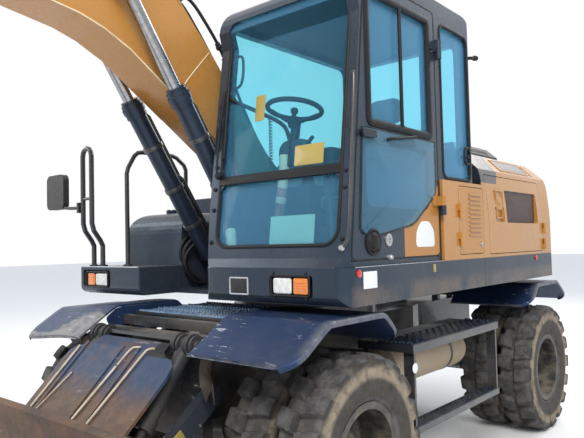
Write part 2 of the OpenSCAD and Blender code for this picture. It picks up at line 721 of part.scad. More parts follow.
// Platform with lamp on the right, closed below, with the rounded tank behind it
module platform() {
    color([0.12, 0.14, 0.18]) difference() {
        top_pane(deck_z, rail_z, -half_w, bay_x, house_front, -800.4, 12);
        block(-half_w - 1, 0, house_front + lip_t, 0, deck_z - 1, deck_z + 30.4);
        front_pane(house_front - 10, house_front + 60, -1205, -850, deck_z + 48, rail_z - 22, 18);
        front_edge();
    }
}

module tanks() {
    color([0.12, 0.14, 0.18]) {
        intersection() {
            slab(-half_w + 75, bay_x, concat([[-800, deck_z + 30.4]], arc(-640, 1740, 160, 180, 90, 8),
                [[-60, 1900], [-60, deck_z + 30.4]]));
            front_pane(-900, 0, -half_w + 75, bay_x, 1200, 1900, 120);
        }
        front_pane(-59.6, 519.6, -half_w, bay_x, deck_z + 30.4, 2060, 60);
        translate([-880, -560, 1890]) cylinder(d = 130, h = 40);
        translate([-900, -420, 1890]) cylinder(d = 60, h = 60);
    }
}

// Engine compartment: front view outline inset by d, its right half from the sill to the top
function shoulder(d) = [[half_w - d, sill_z + 0.4 - (d > 0 ? 10 : 0)], [half_w - d, 1780],
    [half_w - 7 - d, 1900],
    [half_w - 22 - d, 2030], [half_w - 38 - d, shoulder_z - 38], [half_w - 50 - d, shoulder_z - d * 0.4],
    [half_w - 190 - d * 0.7, hood_z - 22 - d * 0.7], [half_w - 250 - d * 0.7, hood_z - d]];
function body_line(d) = let (r = shoulder(d)) concat(r, [for (i = [len(r) - 1:-1:0]) [-r[i][0], r[i][1]]]);

module body_prism(d, y0, y1) {
    translate([0, y1, 0]) rotate([90, 0, 0]) linear_extrude(y1 - y0) polygon(body_line(d));
}

hinge_z = [1545, 1680];
hinge_h = 45;
// Half of a door hinge on the left side wall; its leaf runs from the pin towards dir
module hinge_half(y, dir, z) {
    translate([half_w + 13, y, z]) cylinder(d = 24, h = hinge_h, $fn = 24);
    // Lengths left out beside the pin and under the leaf
    for (leaf = [[0, 0.4], [14, -5]])
        translate([half_w + leaf[1], dir > 0 ? y + leaf[0] : y - 24, z]) cube([12 - leaf[1],
            24 - leaf[0], hinge_h]);
}

shell_t = 36;
hood_hinge_x = [-600, 480];
hood_box = [-940, 985, body_y0 + 100, weight_y - 320];
hood_hinge = [hood_box[3] + 10, hood_z + 26];
side_door = [body_y0 + 52, weight_y - 35, sill_z + 21, shoulder_z - 38];
module body_shell() {
    color([0.76, 0.54, 0.26]) {
        difference() {
            body_prism(0, body_y0, weight_y - 0.4);
            body_prism(shell_t, body_y0 + shell_t, weight_y - shell_t);
            block(hood_box[0], hood_box[1], hood_box[2], hood_box[3], hood_z - 80, hood_z + 80);
            for (s = [-1, 1])
                side_pane(s * half_w - 110, s * half_w + 110, side_door[0], side_door[1], side_door[2],
                    side_door[3], 30);
            // Slots of the sloping grilles
            for (s = [0, 1], i = [0:15]) mirror([s, 0, 0])
                translate([half_w - 120, weight_y - 740 + i * 46, shoulder_z + 69]) rotate([0, -45, 0])
                    cube([140, 26, 140], center = true);
        }
        // Panel under the rear side window, beside the cab
        difference() {
            side_pane(cab_x1 + 0.4, half_w, -105, body_y0 + 20, sill_z + 0.4, 2030, 8);
            side_pane(cab_x1 - 10, half_w + 20, louvre_box[0], louvre_box[1], louvre_box[2],
                louvre_box[3], 20);
        }
        for (z = hinge_z, s = [0, 1]) mirror([s, 0, 0]) hinge_half(side_door[1] + 10, 1, z + hinge_h + 0.5);
        for (z = [1600, 1790]) hinge_half(louvre_box[0] + 5, -1, z + hinge_h + 0.5);
        for (x = hood_hinge_x) {
            bar(30, x + 60.5, x + 120.5, hood_hinge);
            block(x + 60.5, x + 120.5, hood_box[3] + 1, hood_box[3] + 50, hood_z - 5, hood_z + 30);
        }
    }
}

louvre_box = [120, 520, 1540, 2005];
module louvre_door() {
    l = louvre_box;
    color([0.76, 0.54, 0.26]) side_pane(half_w - 18, half_w, l[0] + 5, l[1] - 5, l[2] + 5, l[3] - 5, 18);
    color([0.6, 0.42, 0.2]) for (z = [l[2] + 125:31:l[3] - 40])
        side_pane(half_w - 1, half_w + 9, l[0] + 160, l[0] + 350, z, z + 14, 6);
    color([0.76, 0.54, 0.26]) for (z = [1600, 1790]) hinge_half(l[0] + 5, 1, z);
}

module grille_door(side) {
    d = side_door;
    mesh = [d[0] + 353, d[1] - 110, d[2] + 235, d[3] - 105];
    latch = [d[0] + 136, d[0] + 313, d[2] + 240, d[3] - 238];
    mirror([side < 0 ? 1 : 0, 0, 0]) {
        color([0.76, 0.54, 0.26]) difference() {
            intersection() {
                difference() {
                    body_prism(0, d[0], d[1]);
                    body_prism(shell_t, d[0] - 1, d[1] + 1);
                }
                side_pane(half_w - 105, half_w + 10, d[0] + 5, d[1] - 5, d[2] + 5, d[3] - 5, 26);
            }
            side_pane(half_w - 120, half_w + 10, mesh[0], mesh[1], mesh[2], mesh[3], 20);
            // Latch recess
            side_pane(half_w - 22, half_w + 10, latch[0], latch[1], latch[2], latch[3], 16);
        }
        color([0.76, 0.54, 0.26]) for (z = hinge_z) hinge_half(d[1] + 10, -1, z);
        color([0.08, 0.08, 0.08]) difference() {
            side_pane(half_w - 48, half_w - 34, mesh[0] - 2, mesh[1] + 2, mesh[2] - 2, mesh[3] + 2, 20);
            for (y = [mesh[0] + 16:34:mesh[1] - 30], z = [mesh[2] + 12:34:mesh[3] - 30])
                block(half_w - 60, half_w + 10, y, y + 22, z, z + 22);
        }
    }
}

// Raised lid with slots round its sloping rim, open below
module hood() {
    h = hood_box;
    low = hood_z - shell_t;
    top = hood_z + 88;
    color([0.15, 0.15, 0.16]) difference() {
        intersection() {
            slab(h[0] + 6, h[1] - 6, [[h[2] + 6, low], [h[2] + 6, hood_z + 20], [h[2] + 70, top],
                [h[3] - 90, top],
                [h[3] - 6, hood_z + 20], [h[3] - 6, low]]);
            translate([0, h[3], 0]) rotate([90, 0, 0]) linear_extrude(h[3] - h[2]) polygon([[h[0] + 6, low],
                [h[0] + 6, hood_z + 20], [h[0] + 60, top], [h[1] - 60, top], [h[1] - 6, hood_z + 20],
                    [h[1] - 6, low]]);
        }
        top_pane(low - 10, hood_z - 6, h[0] + 40, h[1] - 40, h[2] + 40, h[3] - 40, 20);
        top_pane(hood_z - 10, top - 20, h[0] + 80, h[1] - 80, h[2] + 90, h[3] - 110, 20);
        for (y = [h[2] + 100:44:h[3] - 150]) block(h[0] - 10, h[1] + 10, y, y + 22, hood_z + 30, top - 26);
    }
    color([0.15, 0.15, 0.16]) for (x = hood_hinge_x) {
        bar(30, x, x + 60, hood_hinge);
        block(x, x + 60, h[3] - 40, h[3] + 4, hood_z + 0.5, hood_z + 24);
    }
}

module counterweight() {
    h = hood_z - sill_z - 0.4;
    color([0.74, 0.53, 0.26]) intersection() {
        translate([0, 0, sill_z + 0.4]) rotate_extrude($fn = 96)
            polygon(concat([[0, 0], [tail_r, 0]], arc(tail_r - 250, h - 250, 250, 0, 90, 8), [[0, h]]));
        body_prism(0, weight_y, tail_r + 10);
    }
}

module engine() {
    color([0.3, 0.3, 0.31]) top_pane(deck_z + 30.4, shoulder_z - 78, -420, 460, body_y0 + 200,
        weight_y - 200, 60);
}

rail_x = [-1225, -1105];
rail_r = (rail_x[1] - rail_x[0]) / 2;
module handrails() {
    color([0.1, 0.11, 0.13]) {
        // Front loop: it cranks forward above its feet; arc over the top, a crossbar and the mirror's clamp
        foot_line = [[-1075, rail_z + gap], [-1075, 1660], [-1095, 1700], [-1150, 1775], [-1165, 1830]];
        tube_path(concat([for (p = foot_line) [rail_x[0], p[0], p[1]]],
            [for (t = [180:-30:0]) [(rail_x[0] + rail_x[1]) / 2 + rail_r * cos(t), -1165,
                2345 + rail_r * sin(t)]],
            [for (i = [4:-1:0]) [rail_x[1], foot_line[i][0], foot_line[i][1]]]), 38);
        bar(24, rail_x[0], rail_x[1], [-1165, 2020]);
        for (x = rail_x) translate([x, -1075, rail_z + gap]) cylinder(d = 74, h = 12);
        tube_path([[-890, -1000, rail_z + gap], [-890, -1000, 2200], [-893, -985, 2245], [-898, -925, 2340],
            [-900, -890, 2368], [-900, -850, 2375], [-900, -560, 2375], [-900, -515, 2362],
                [-900, -440, 2310],
            [-900, -420, 2270], [-900, -420, 1951]], 34, [1, 0, 0]);
        translate([-890, -1000, rail_z + gap]) cylinder(d = 70, h = 12);
    }
}

module side_mirror() {
    color([0.08, 0.08, 0.09]) {
        block(rail_x[0] - 45, rail_x[0] - 19.4, -1195, -1135, 1915, 1995);
        tube_path([[rail_x[0] - 40, -1165, 1955], [-1420, -1160, 1960], [-1560, -1155, 1975],
            [-1600, -1150, 2010]], 26);
        front_pane(-1175, -1125, -1760, -1500, 1960, 2240, 50);
    }
}

// Boom

boom_top = [[-4380, 3562], [-2280, 3705], [-2050, 3700], [-1850, 3668], [-1660, 3600], [-1460, 3470],
    [-1170, 3220], [-920, 2950]];
fork_y = -3920;
boom_low = [[-245, 1800], [-700, 2235], [-1100, 2507], [-1560, 2820], [-1740, 2905], [-1890, 2950],
    [-2190, 2995], [-4330, 3340]];

// A strip along points from to last of a line, as thick as t upwards
function plate_edge(line, from, last, t) =
    concat([for (i = [from:last]) line[i]], [for (i = [last:-1:from]) line[i] + [0, t]]);

module boom() {
    w = boom_w / 2;
    color([0.76, 0.5, 0.2]) difference() {
        union() {
            slab(boom_x - w, boom_x + w, concat(boom_low, boom_top, [[-30, 1900]]));
            bar(250, boom_x - w, boom_x + w, foot);
            bar(230, boom_x - w, boom_x + w, tip);
            bar(170, boom_x - 195, boom_x + 195, lift_head);
            // Edges of the lower and upper plates, proud of the sides
            slab(boom_x - w - 4, boom_x + w + 4, plate_edge(boom_low, 2, 6, 20));
            slab(boom_x - w - 4, boom_x + w + 4, plate_edge(boom_top, 0, 6, -20));
            // Ears for the arm cylinder
            twin_slab(boom_x, 52, 82, concat([[-2220, 3690], [-2470, 3690]],
                arc(stick_foot[0], stick_foot[1], 70, 160, 20, 6)));
        }
        bar(pin_d + 0.8, boom_x - 300, boom_x + 300, foot);
        block(boom_x - arm_w / 2 - 4, boom_x + arm_w / 2 + 4, -4900, fork_y, 3000, 3900);
        bar(71, boom_x - 100, boom_x + 100, stick_foot);
    }
    color([0.3, 0.3, 0.3]) bar(86, boom_x - w - 12, boom_x + w + 12, tip);
}

// Two pipes on clamps along the boom's back
module boom_pipes() {
    base = [for (i = [6:-1:1]) boom_top[i]];
    last = len(base) - 1;
    normal = function(a, b) let (v = (b - a) / norm(b - a)) [v[1], -v[0]];
    line = [for (i = [0:last])
        let (n = normal(base[max(i - 1, 0)], base[max(i, 1)]) + normal(base[min(i, last - 1)],
            base[min(i + 1, last)]))
        base[i] + pipe_lift * n / norm(n)];
    color([0.12, 0.12, 0.13]) for (x = [100, 134])
        tube_path([for (p = line) [boom_x + x, p[0], p[1]]], 26, [1, 0, 0]);
    color([0.12, 0.12, 0.13]) for (i = [0, 2, 4], f = i == 4 ? [0.1, 0.5, 0.9] : [0.5]) {
        p = base[i] + f * (base[i + 1] - base[i]);
        v = base[i + 1] - base[i];
        translate([boom_x + 85, p[0], p[1]]) rotate([atan2(v[1], v[0]) + 180, 0, 0])
            translate([0, -20, gap]) cube([65, 40, pipe_lift + 10]);
    }
}
pipe_lift = 32;

// A cylinder pair or a single cylinder: barrel from a, pointing at b
module barrel(x, a, b, eye_w, eye_d, barrel_d, barrel_l, rod_d) {
    bar(eye_d, x - eye_w / 2, x + eye_w / 2, a);
    aim(x, a, b) difference() {
        union() {
            cylinder(d = eye_w * 0.9, h = eye_d);
            translate([0, 0, eye_d * 0.9]) cylinder(d = barrel_d, h = barrel_l - eye_d * 0.9);
            translate([0, 0, barrel_l - 120]) cylinder(d = barrel_d + 18, h = 100);
            translate([0, 0, barrel_l - 84]) cylinder(d = barrel_d + 30, h = 34);
            translate([0, 0, barrel_l - 30]) cylinder(d = rod_d + 34, h = 30);
        }
        translate([0, 0, eye_d + 60]) cylinder(d = rod_d + 1, h = barrel_l);
    }
}

module rod(x, a, b, eye_w, eye_d, rod_d, hidden) {
    l = norm(b - a);
    aim(x, a, b) translate([0, 0, hidden]) cylinder(d = rod_d, h = l - hidden);
    bar(eye_d, x - eye_w / 2, x + eye_w / 2, b);
}

module lift_cylinders() {
    color([0.1, 0.1, 0.11]) for (s = [-1, 1]) difference() {
        barrel(boom_x + s * lift_x, lift_foot, lift_head, 68, 150, 124, 1400, 80);
        bar(80.8, boom_x - 400, boom_x + 400, lift_foot);
    }
}

module lift_rods() {
    color([0.8, 0.81, 0.83]) for (s = [-1, 1])
        rod(boom_x + s * lift_x, lift_foot, lift_head, 78, 150, 80, 760);
}

module stick_cylinder() {
    color([0.1, 0.1, 0.11]) {
        barrel(boom_x, stick_foot, stick_head, 100, 130, 130, 1420, 85);
        bar(70, boom_x - 81, boom_x + 81, stick_foot);
    }
}

module stick_rod() {
    color([0.8, 0.81, 0.83]) rod(boom_x, stick_foot, stick_head, 88, 120, 85, 960);
}

// Arm

module arm() {
    w = arm_w / 2;
    r = 150;
    outline = [[-arm_len - 523, 262], [-arm_len - 420, 275], [-arm_len - 60, 262], [-arm_len + 390, 285],
        [-arm_len + 510, 275], [-arm_len + 760, 205], [-600, 118], [-351, 112], [-60, 80], [-60, -80],
            [-500, -120],
        [-arm_len + 600, -205], [-arm_len + 120, -180], [-arm_len - 150, -70], [-arm_len - 523, 138]];
    color([0.76, 0.5, 0.2]) difference() {
        union() {
            slab(boom_x - w, boom_x + w, [for (p = outline) on_arm(p[0], p[1])]);
            bar(300, boom_x - w, boom_x + w, tip);
            bar(164, boom_x - w, boom_x + w, wrist);
            bar(124, boom_x - w, boom_x + w, stick_head);
            bar(120, boom_x - 76, boom_x + 76, crowd_foot);
            twin_slab(boom_x, 46, 76, [for (p = concat([[344, 272],
                [564, 262]], arc(454, 356, 60, -10, 190, 8)))
                on_arm(p[0] - arm_len, p[1])]);
        }
        // Slots for the cylinder ends
        slab(boom_x - 46, boom_x + 46, [for (p = [[-900, -100], [-900, 500], [260 - 523, 500],
            [260 - 523, -200]])
            on_arm(-arm_len + p[0], p[1])]);
        slab(boom_x - 46, boom_x + 46, [for (p = [[360, 240], [360, 500], [700, 500], [700, 240]])
            on_arm(-arm_len + p[0], p[1])]);
        bar(87, boom_x - 200, boom_x + 200, tip);
        bar(71, boom_x - 200, boom_x + 200, wrist);
        bar(61, boom_x - 200, boom_x + 200, rocker_pin);
        bar(61, boom_x - 200, boom_x + 200, crowd_foot);
    }
}

module crowd_cylinder() {
    color([0.1, 0.1, 0.11]) {
        barrel(boom_x, crowd_foot, rocker_tip, 88, 110, 108, 1340, 70);
        bar(60, boom_x - 80, boom_x + 80, crowd_foot);
    }
}

module crowd_rod() {
    color([0.8, 0.81, 0.83]) rod(boom_x, crowd_foot, rocker_tip, 88, 104, 70, 700);
}

// A flat lever with round ends
module lever(x0, x1, a, b, da, db) {
    v = (b - a) / norm(b - a);
    n = [-v[1], v[0]];
    bar(da, x0, x1, a);
    bar(db, x0, x1, b);
    slab(x0, x1, [a + n * da / 2, b + n * db / 2, b - n * db / 2, a - n * da / 2]);
}

module rocker() {
    w = arm_w / 2;
    color([0.1, 0.1, 0.11]) {
        for (s = [-1, 1]) {
            x0 = s > 0 ? boom_x + w + 5 : boom_x - w - 31;
            lever(x0, x0 + 26, rocker_pin, rocker_tip, 120, 110);
        }
        bar(60, boom_x - w - 31, boom_x + w + 31, rocker_pin);
    }
}

module link() {
    color([0.1, 0.1, 0.11]) {
        for (s = [-1, 1]) {
            x0 = s > 0 ? boom_x + 50 : boom_x - 92;
            lever(x0, x0 + 42, bucket_ear, rocker_tip, 100, 104);
        }
        bar(100, boom_x - 104, boom_x + 104, bucket_ear);
        bar(60, boom_x - 140, boom_x + 140, bucket_ear);
    }
}

// Bucket: side view with the wrist pivot as its origin, mouth towards the machine
bucket_h = wrist[1] - 4;
heel = [-250, -bucket_h + 330];
function on_wrist(p) = wrist + p;
shell_out = concat([[150, -190], [-420, -285]], arc(heel[0], heel[1], 330, 155, 262, 10),
    [[560, -bucket_h], [850, -bucket_h]]);
function inset_shell(d) = concat([[560, -bucket_h + d], [heel[0], -bucket_h + d]],
    arc(heel[0], heel[1], 330 - d, 262, 160, 10), [[-405, -285 - d], [150, -190 - d]]);

module bucket() {
    w = bucket_w / 2;
    side = concat([for (p = shell_out) p], [[850, -bucket_h + 40], [560, -bucket_h + 260],
        [230, -215], [150, -190]]);
    color([0.2, 0.19, 0.19]) difference() {
        union() {
            slab(boom_x - w, boom_x + w, [for (p = concat(shell_out, [[850, -bucket_h + 30]],
                inset_shell(26))) on_wrist(p)]);
            for (x = [-w, w - 24]) slab(boom_x + x, boom_x + x + 24, [for (p = side) on_wrist(p)]);
            for (s = [-1, 1]) {
                x0 = s > 0 ? boom_x + 110 : boom_x - 144;
                lever(x0, x0 + 34, wrist, bucket_ear, 164, 130);
                slab(x0, x0 + 34, [wrist + [130, -200], wrist + [80, 0], bucket_ear, bucket_ear + [-62,
                    -20],
                    wrist + [-430, -280]]);
            }
            bar(70, boom_x - 150, boom_x + 150, wrist);
            // Teeth on the lip
            for (i = [0:tooth_count - 1]) {
                x = boom_x - w + 45 + i * (bucket_w - 90) / (tooth_count - 1);
                slab(x - 38, x + 38, [for (p = [[780, -bucket_h + 60], [850, -bucket_h + 62],
                    [970, -bucket_h + 16], [970, -bucket_h + 2],
                    [850, -bucket_h - 2], [780, -bucket_h - 2]]) on_wrist(p)]);
            }
        }
        bar(61, boom_x - 200, boom_x + 200, bucket_ear);
    }
}

chassis_frame();
rigid_axle();
steer_axle();
driveline();
fenders();
side_step();
tool_box();
tyres(1, blade_axle_y);  // tyres_blade_left
tyres(-1, blade_axle_y);  // tyres_blade_right
tyres(1, steer_axle_y);  // tyres_steer_left
tyres(-1, steer_axle_y);  // tyres_steer_right
rims(1, blade_axle_y);  // rims_blade_left
rims(-1, blade_axle_y);  // rims_blade_right
rims(1, steer_axle_y);  // rims_steer_left
rims(-1, steer_axle_y);  // rims_steer_right
knuckle(1);  // knuckle_left
knuckle(-1);  // knuckle_right
tie_rod();
blade();
blade_cylinders();
blade_rods();
upper_frame();
cab_deck();
cab_shell();
cab_glass();
seat_base();
seat_cushions();
console();
platform();
tanks();
body_shell();
counterweight();
engine();
hood();
louvre_door();
grille_door(1);
grille_door(-1);  // right_door
handrails();
side_mirror();  // mirror
lamps();
cab_door();
door_glass();
boom();
boom_pipes();
lift_cylinders();
lift_rods();
stick_cylinder();
stick_rod();
arm();
crowd_cylinder();
crowd_rod();
rocker();
link();
bucket();
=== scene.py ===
import json
import math
import bmesh
import bpy
import numpy as np
from mathutils import Matrix, Vector


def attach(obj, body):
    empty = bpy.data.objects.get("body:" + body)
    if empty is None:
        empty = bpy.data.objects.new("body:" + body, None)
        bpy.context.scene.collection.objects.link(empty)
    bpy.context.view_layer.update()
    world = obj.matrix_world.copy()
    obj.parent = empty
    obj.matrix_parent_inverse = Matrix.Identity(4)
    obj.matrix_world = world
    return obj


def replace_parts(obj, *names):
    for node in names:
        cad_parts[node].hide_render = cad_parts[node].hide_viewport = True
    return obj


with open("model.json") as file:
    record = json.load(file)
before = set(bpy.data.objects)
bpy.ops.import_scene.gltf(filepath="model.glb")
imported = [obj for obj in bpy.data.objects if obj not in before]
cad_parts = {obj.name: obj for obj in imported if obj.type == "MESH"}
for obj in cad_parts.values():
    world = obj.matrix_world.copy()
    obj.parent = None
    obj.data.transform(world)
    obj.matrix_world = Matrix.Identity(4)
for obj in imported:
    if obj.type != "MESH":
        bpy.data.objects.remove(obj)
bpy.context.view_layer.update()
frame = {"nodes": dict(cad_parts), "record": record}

scene = bpy.context.scene


# Materials

def newMaterial(name):
    material = bpy.data.materials.new(name)
    material.use_nodes = True
    tree = material.node_tree
    return material, tree, tree.nodes["Principled BSDF"]


def link(tree, source, target):
    tree.links.new(source, target)


def objectCoords(tree):
    return tree.nodes.new("ShaderNodeTexCoord").outputs["Object"]


def splitOf(tree, vector):
    node = tree.nodes.new("ShaderNodeSeparateXYZ")
    link(tree, vector, node.inputs["Vector"])
    return [node.outputs[axis] for axis in "XYZ"]


def noiseOf(tree, coords, scale, detail=4.0, roughness=0.55, stretch=None):
    if stretch:
        mapping = tree.nodes.new("ShaderNodeMapping")
        mapping.inputs["Scale"].default_value = stretch
        link(tree, coords, mapping.inputs["Vector"])
        coords = mapping.outputs["Vector"]
    node = tree.nodes.new("ShaderNodeTexNoise")
    node.inputs["Scale"].default_value = scale
    node.inputs["Detail"].default_value = detail
    node.inputs["Roughness"].default_value = roughness
    link(tree, coords, node.inputs["Vector"])
    return node.outputs["Fac"]


def rampOf(tree, value, low, high, outLow=0.0, outHigh=1.0):
    node = tree.nodes.new("ShaderNodeMapRange")
    node.interpolation_type = "SMOOTHSTEP"
    for socket, number in (("From Min", low), ("From Max", high), ("To Min", outLow), ("To Max", outHigh)):
        node.inputs[socket].default_value = number
    link(tree, value, node.inputs["Value"])
    return node.outputs["Result"]


def mathOf(tree, operation, first, second=None, clamp=False):
    node = tree.nodes.new("ShaderNodeMath")
    node.operation = operation
    node.use_clamp = clamp
    for socket, value in zip(node.inputs, (first, second)):
        if value is None:
            continue
        if isinstance(value, (int, float)):
            socket.default_value = value
        else:
            link(tree, value, socket)
    return node.outputs["Value"]


def mixColour(tree, factor, first, second):
    node = tree.nodes.new("ShaderNodeMix")
    node.data_type = "RGBA"
    for socket, value in ((node.inputs[0], factor), (node.inputs[6], first), (node.inputs[7], second)):
        if isinstance(value, (int, float)):
            socket.default_value = value
        elif isinstance(value, tuple):
            socket.default_value = (*value, 1.0)
        else:
            link(tree, value, socket)
    return node.outputs[2]


def bumpOf(tree, shader, height, strength, distance):
    node = tree.nodes.new("ShaderNodeBump")
    node.inputs["Strength"].default_value = strength
    node.inputs["Distance"].default_value = distance
    link(tree, height, node.inputs["Height"])
    link(tree, node.outputs["Normal"], shader.inputs["Normal"])


# Dust lies where a noise is high, more on faces that look up and low on the machine
def dustMask(tree, coords, look):
    patches = rampOf(tree, noiseOf(tree, coords, look["dustScale"], 6.0, 0.62), 0.36, 0.70)
    grain = rampOf(tree, noiseOf(tree, coords, look["dustScale"] * 9, 3.0, 0.6), 0.3, 0.75, 0.55, 1.0)
    facing = splitOf(tree, tree.nodes.new("ShaderNodeNewGeometry").outputs["Normal"])[2]
    upward = rampOf(tree, facing, 0.3, 0.97, look["dustSide"], look["dustTop"])
    height, start = splitOf(tree, coords)[2], look["dustFrom"]
    low = rampOf(tree, height, start, start + 1.2, look["dustLow"], 0.0)
    amount = mathOf(tree, "ADD", upward, low)
    return mathOf(tree, "MULTIPLY", mathOf(tree, "MULTIPLY", patches, grain), amount, clamp=True)


# Two tones of one colour, areas of other colours, scratches, and dust over all
def weatheredPaint(name, look):
    material, tree, shader = newMaterial(name)
    look = {**paintDefaults, **look}
    coords = objectCoords(tree)
    mask = dustMask(tree, coords, look)
    tone = rampOf(tree, noiseOf(tree, coords, look["toneScale"], 4.0, 0.6), 0.32, 0.68)
    base = mixColour(tree, tone, look["colour"], look["colour2"])
    for area, colour in look["areas"]:
        base = mixColour(tree, area(tree, coords), base, colour)
    if look["scratches"]:
        fine = noiseOf(tree, coords, 9.0, 5.0, 0.7, stretch=(1.0, 5.0, 5.0))
        sparse = noiseOf(tree, coords, 3.1, 3.0, 0.6)
        scratch = mathOf(tree, "MULTIPLY", rampOf(tree, fine, 0.61, 0.67), rampOf(tree, sparse, 0.48, 0.60))
        share = mathOf(tree, "MULTIPLY", scratch, look["scratches"])
        base = mixColour(tree, share, base, look["scratchColour"])
    dusty = mixColour(tree, mask, base, look["dust"])
    link(tree, dusty, shader.inputs["Base Color"])
    streaks = rampOf(tree, noiseOf(tree, coords, 26.0, 5.0, 0.7), 0.35, 0.7, 0.0, look["smear"])
    rough = mathOf(tree, "ADD", rampOf(tree, mask, 0.0, 0.7, look["roughness"], 0.85), streaks, clamp=True)
    link(tree, rough, shader.inputs["Roughness"])
    shader.inputs["Metallic"].default_value = look["metallic"]
    shader.inputs["Coat Weight"].default_value = look["coat"]
    shader.inputs["Coat Roughness"].default_value = 0.1
    shader.inputs["Specular IOR Level"].default_value = look["specular"]
    shader.inputs["Specular Tint"].default_value = (*look["specularTint"], 1)
    bumpOf(tree, shader, noiseOf(tree, coords, look["bumpScale"], 4.0, 0.6), look["bump"], 0.004)
    return material


# Areas where another colour shows: each is a function of the tree and the coordinates that gives 0 to 1

# 1 on one side of a line through two points [y, z], on the side that lies to the right of its run
def besideLine(start, end, soft=0.004):
    run = np.subtract(end, start) / np.hypot(*np.subtract(end, start))

    def area(tree, coords):
        axes = splitOf(tree, coords)
        across = mathOf(tree, "MULTIPLY", mathOf(tree, "SUBTRACT", axes[1], float(start[0])), float(run[1]))
        rise = mathOf(tree, "MULTIPLY", mathOf(tree, "SUBTRACT", axes[2], float(start[1])), float(run[0]))
        return rampOf(tree, mathOf(tree, "SUBTRACT", across, rise), -soft, soft)
    return area


def allOf(*areas):
    def area(tree, coords):
        result = areas[0](tree, coords)
        for other in areas[1:]:
            result = mathOf(tree, "MULTIPLY", result, other(tree, coords))
        return result
    return area


def outside(inner):
    def area(tree, coords):
        return mathOf(tree, "SUBTRACT", 1.0, inner(tree, coords))
    return area


def alongAxis(axis, low, high):
    def area(tree, coords):
        return rampOf(tree, splitOf(tree, coords)["XYZ".index(axis)], low, high)
    return area


# 1 where the place across the machine is less than a distance from its middle plane
def withinX(reach):
    def area(tree, coords):
        across = mathOf(tree, "ABSOLUTE", splitOf(tree, coords)[0])
        return rampOf(tree, across, reach - 0.001, reach + 0.001, 1.0, 0.0)
    return area


def patchy(scale, low, high):
    def area(tree, coords):
        return rampOf(tree, noiseOf(tree, coords, scale, 6.0, 0.65), low, high)
    return area


# Where the piece's own attribute is high
def byAttribute(name):
    def area(tree, coords):
        node = tree.nodes.new("ShaderNodeAttribute")
        node.attribute_name = name
        grain = rampOf(tree, noiseOf(tree, coords, 14.0, 6.0, 0.7), 0.30, 0.58, 0.25, 1.0)
        return mathOf(tree, "MULTIPLY", node.outputs["Fac"], grain, clamp=True)
    return area


paintDefaults = {
    "dust": (0.36, 0.29, 0.20), "dustScale": 2.4, "dustSide": 0.03, "dustTop": 0.34, "dustLow": 0.12,
    "dustFrom": 0.5, "toneScale": 1.1, "roughness": 0.26, "smear": 0.10, "metallic": 0.0, "coat": 0.0,
    "bumpScale": 70.0, "bump": 0.05, "areas": [], "scratches": 0.0, "scratchColour": (0.42, 0.43, 0.44),
    "specular": 0.5, "specularTint": (1.0, 1.0, 1.0),
}
goldColour = (0.36, 0.158, 0.034)
slateColour = (0.016, 0.023, 0.034)
gold = {"colour": goldColour, "colour2": (0.41, 0.184, 0.043), "dustTop": 0.10, "dustSide": 0.02,
        "dustLow": 0.0, "specularTint": (1.0, 0.78, 0.50)}
slateShine = {"specular": 0.4, "specularTint": (0.55, 0.74, 1.0)}
slate = {"colour": slateColour, "colour2": (0.022, 0.030, 0.043), **slateShine}
navy = {"colour": (0.009, 0.020, 0.052), "colour2": (0.015, 0.030, 0.074), "dustSide": 0.02,
        "dustTop": 0.06, "dustLow": 0.0, "roughness": 0.34, "scratches": 0.9, "bump": 0.12,
        "bumpScale": 22.0, "specular": 0.4, "specularTint": (0.30, 0.50, 1.0)}

# Arms of the blade, under the cover plate, and the plate's navy upper part
behindBlade = allOf(alongAxis("Y", -2.02, -1.98), besideLine((-1.998, 0.713), (-1.62, 1.050)))
coverNavy = allOf(alongAxis("Z", 0.80, 0.96), patchy(3.3, 0.72, 0.44))
# Painted shade in the torn gap at the cover plate's upper edge, near-black
tornGapShade = allOf(alongAxis("X", 0.235, 0.250), alongAxis("X", 0.430, 0.410), alongAxis("Y", -1.672, -1.664),
                 alongAxis("Z", 1.00, 1.02), patchy(11.0, 0.40, 0.46))
# Brown dust low on the sill under the cab
sillDust = allOf(alongAxis("X", 1.236, 1.240), alongAxis("Z", 1.44, 1.36), patchy(4.0, 0.30, 0.62))
# Painted shade: a near-black pocket at the front end of the door's handle, where shade falls in the recess;
# and gold under a line that rises to the rear
handlePocketShade = allOf(alongAxis("X", 1.2255, 1.2265), alongAxis("Y", -1.02, -1.015),
                     alongAxis("Y", -0.86, -0.865), alongAxis("Z", 2.195, 2.20),
                     alongAxis("Z", 2.255, 2.25))
goldBehind = besideLine((-0.565, 1.40), (-0.565, 1.70))
goldSlope = allOf(goldBehind, besideLine((-0.52, 1.745), (-0.10, 2.01)))
goldStep = allOf(goldBehind, besideLine((-0.565, 1.735), (-0.47, 1.775)))
# Slate patch at the body's front upper corner, and painted shade on the inside of the body behind its doors
cornerPatch = allOf(alongAxis("Z", 2.052, 2.058), outside(besideLine((0.83, 2.04), (0.93, 2.22))))
bodyInsideShade = allOf(withinX(1.2125), alongAxis("Z", 2.070, 2.065))

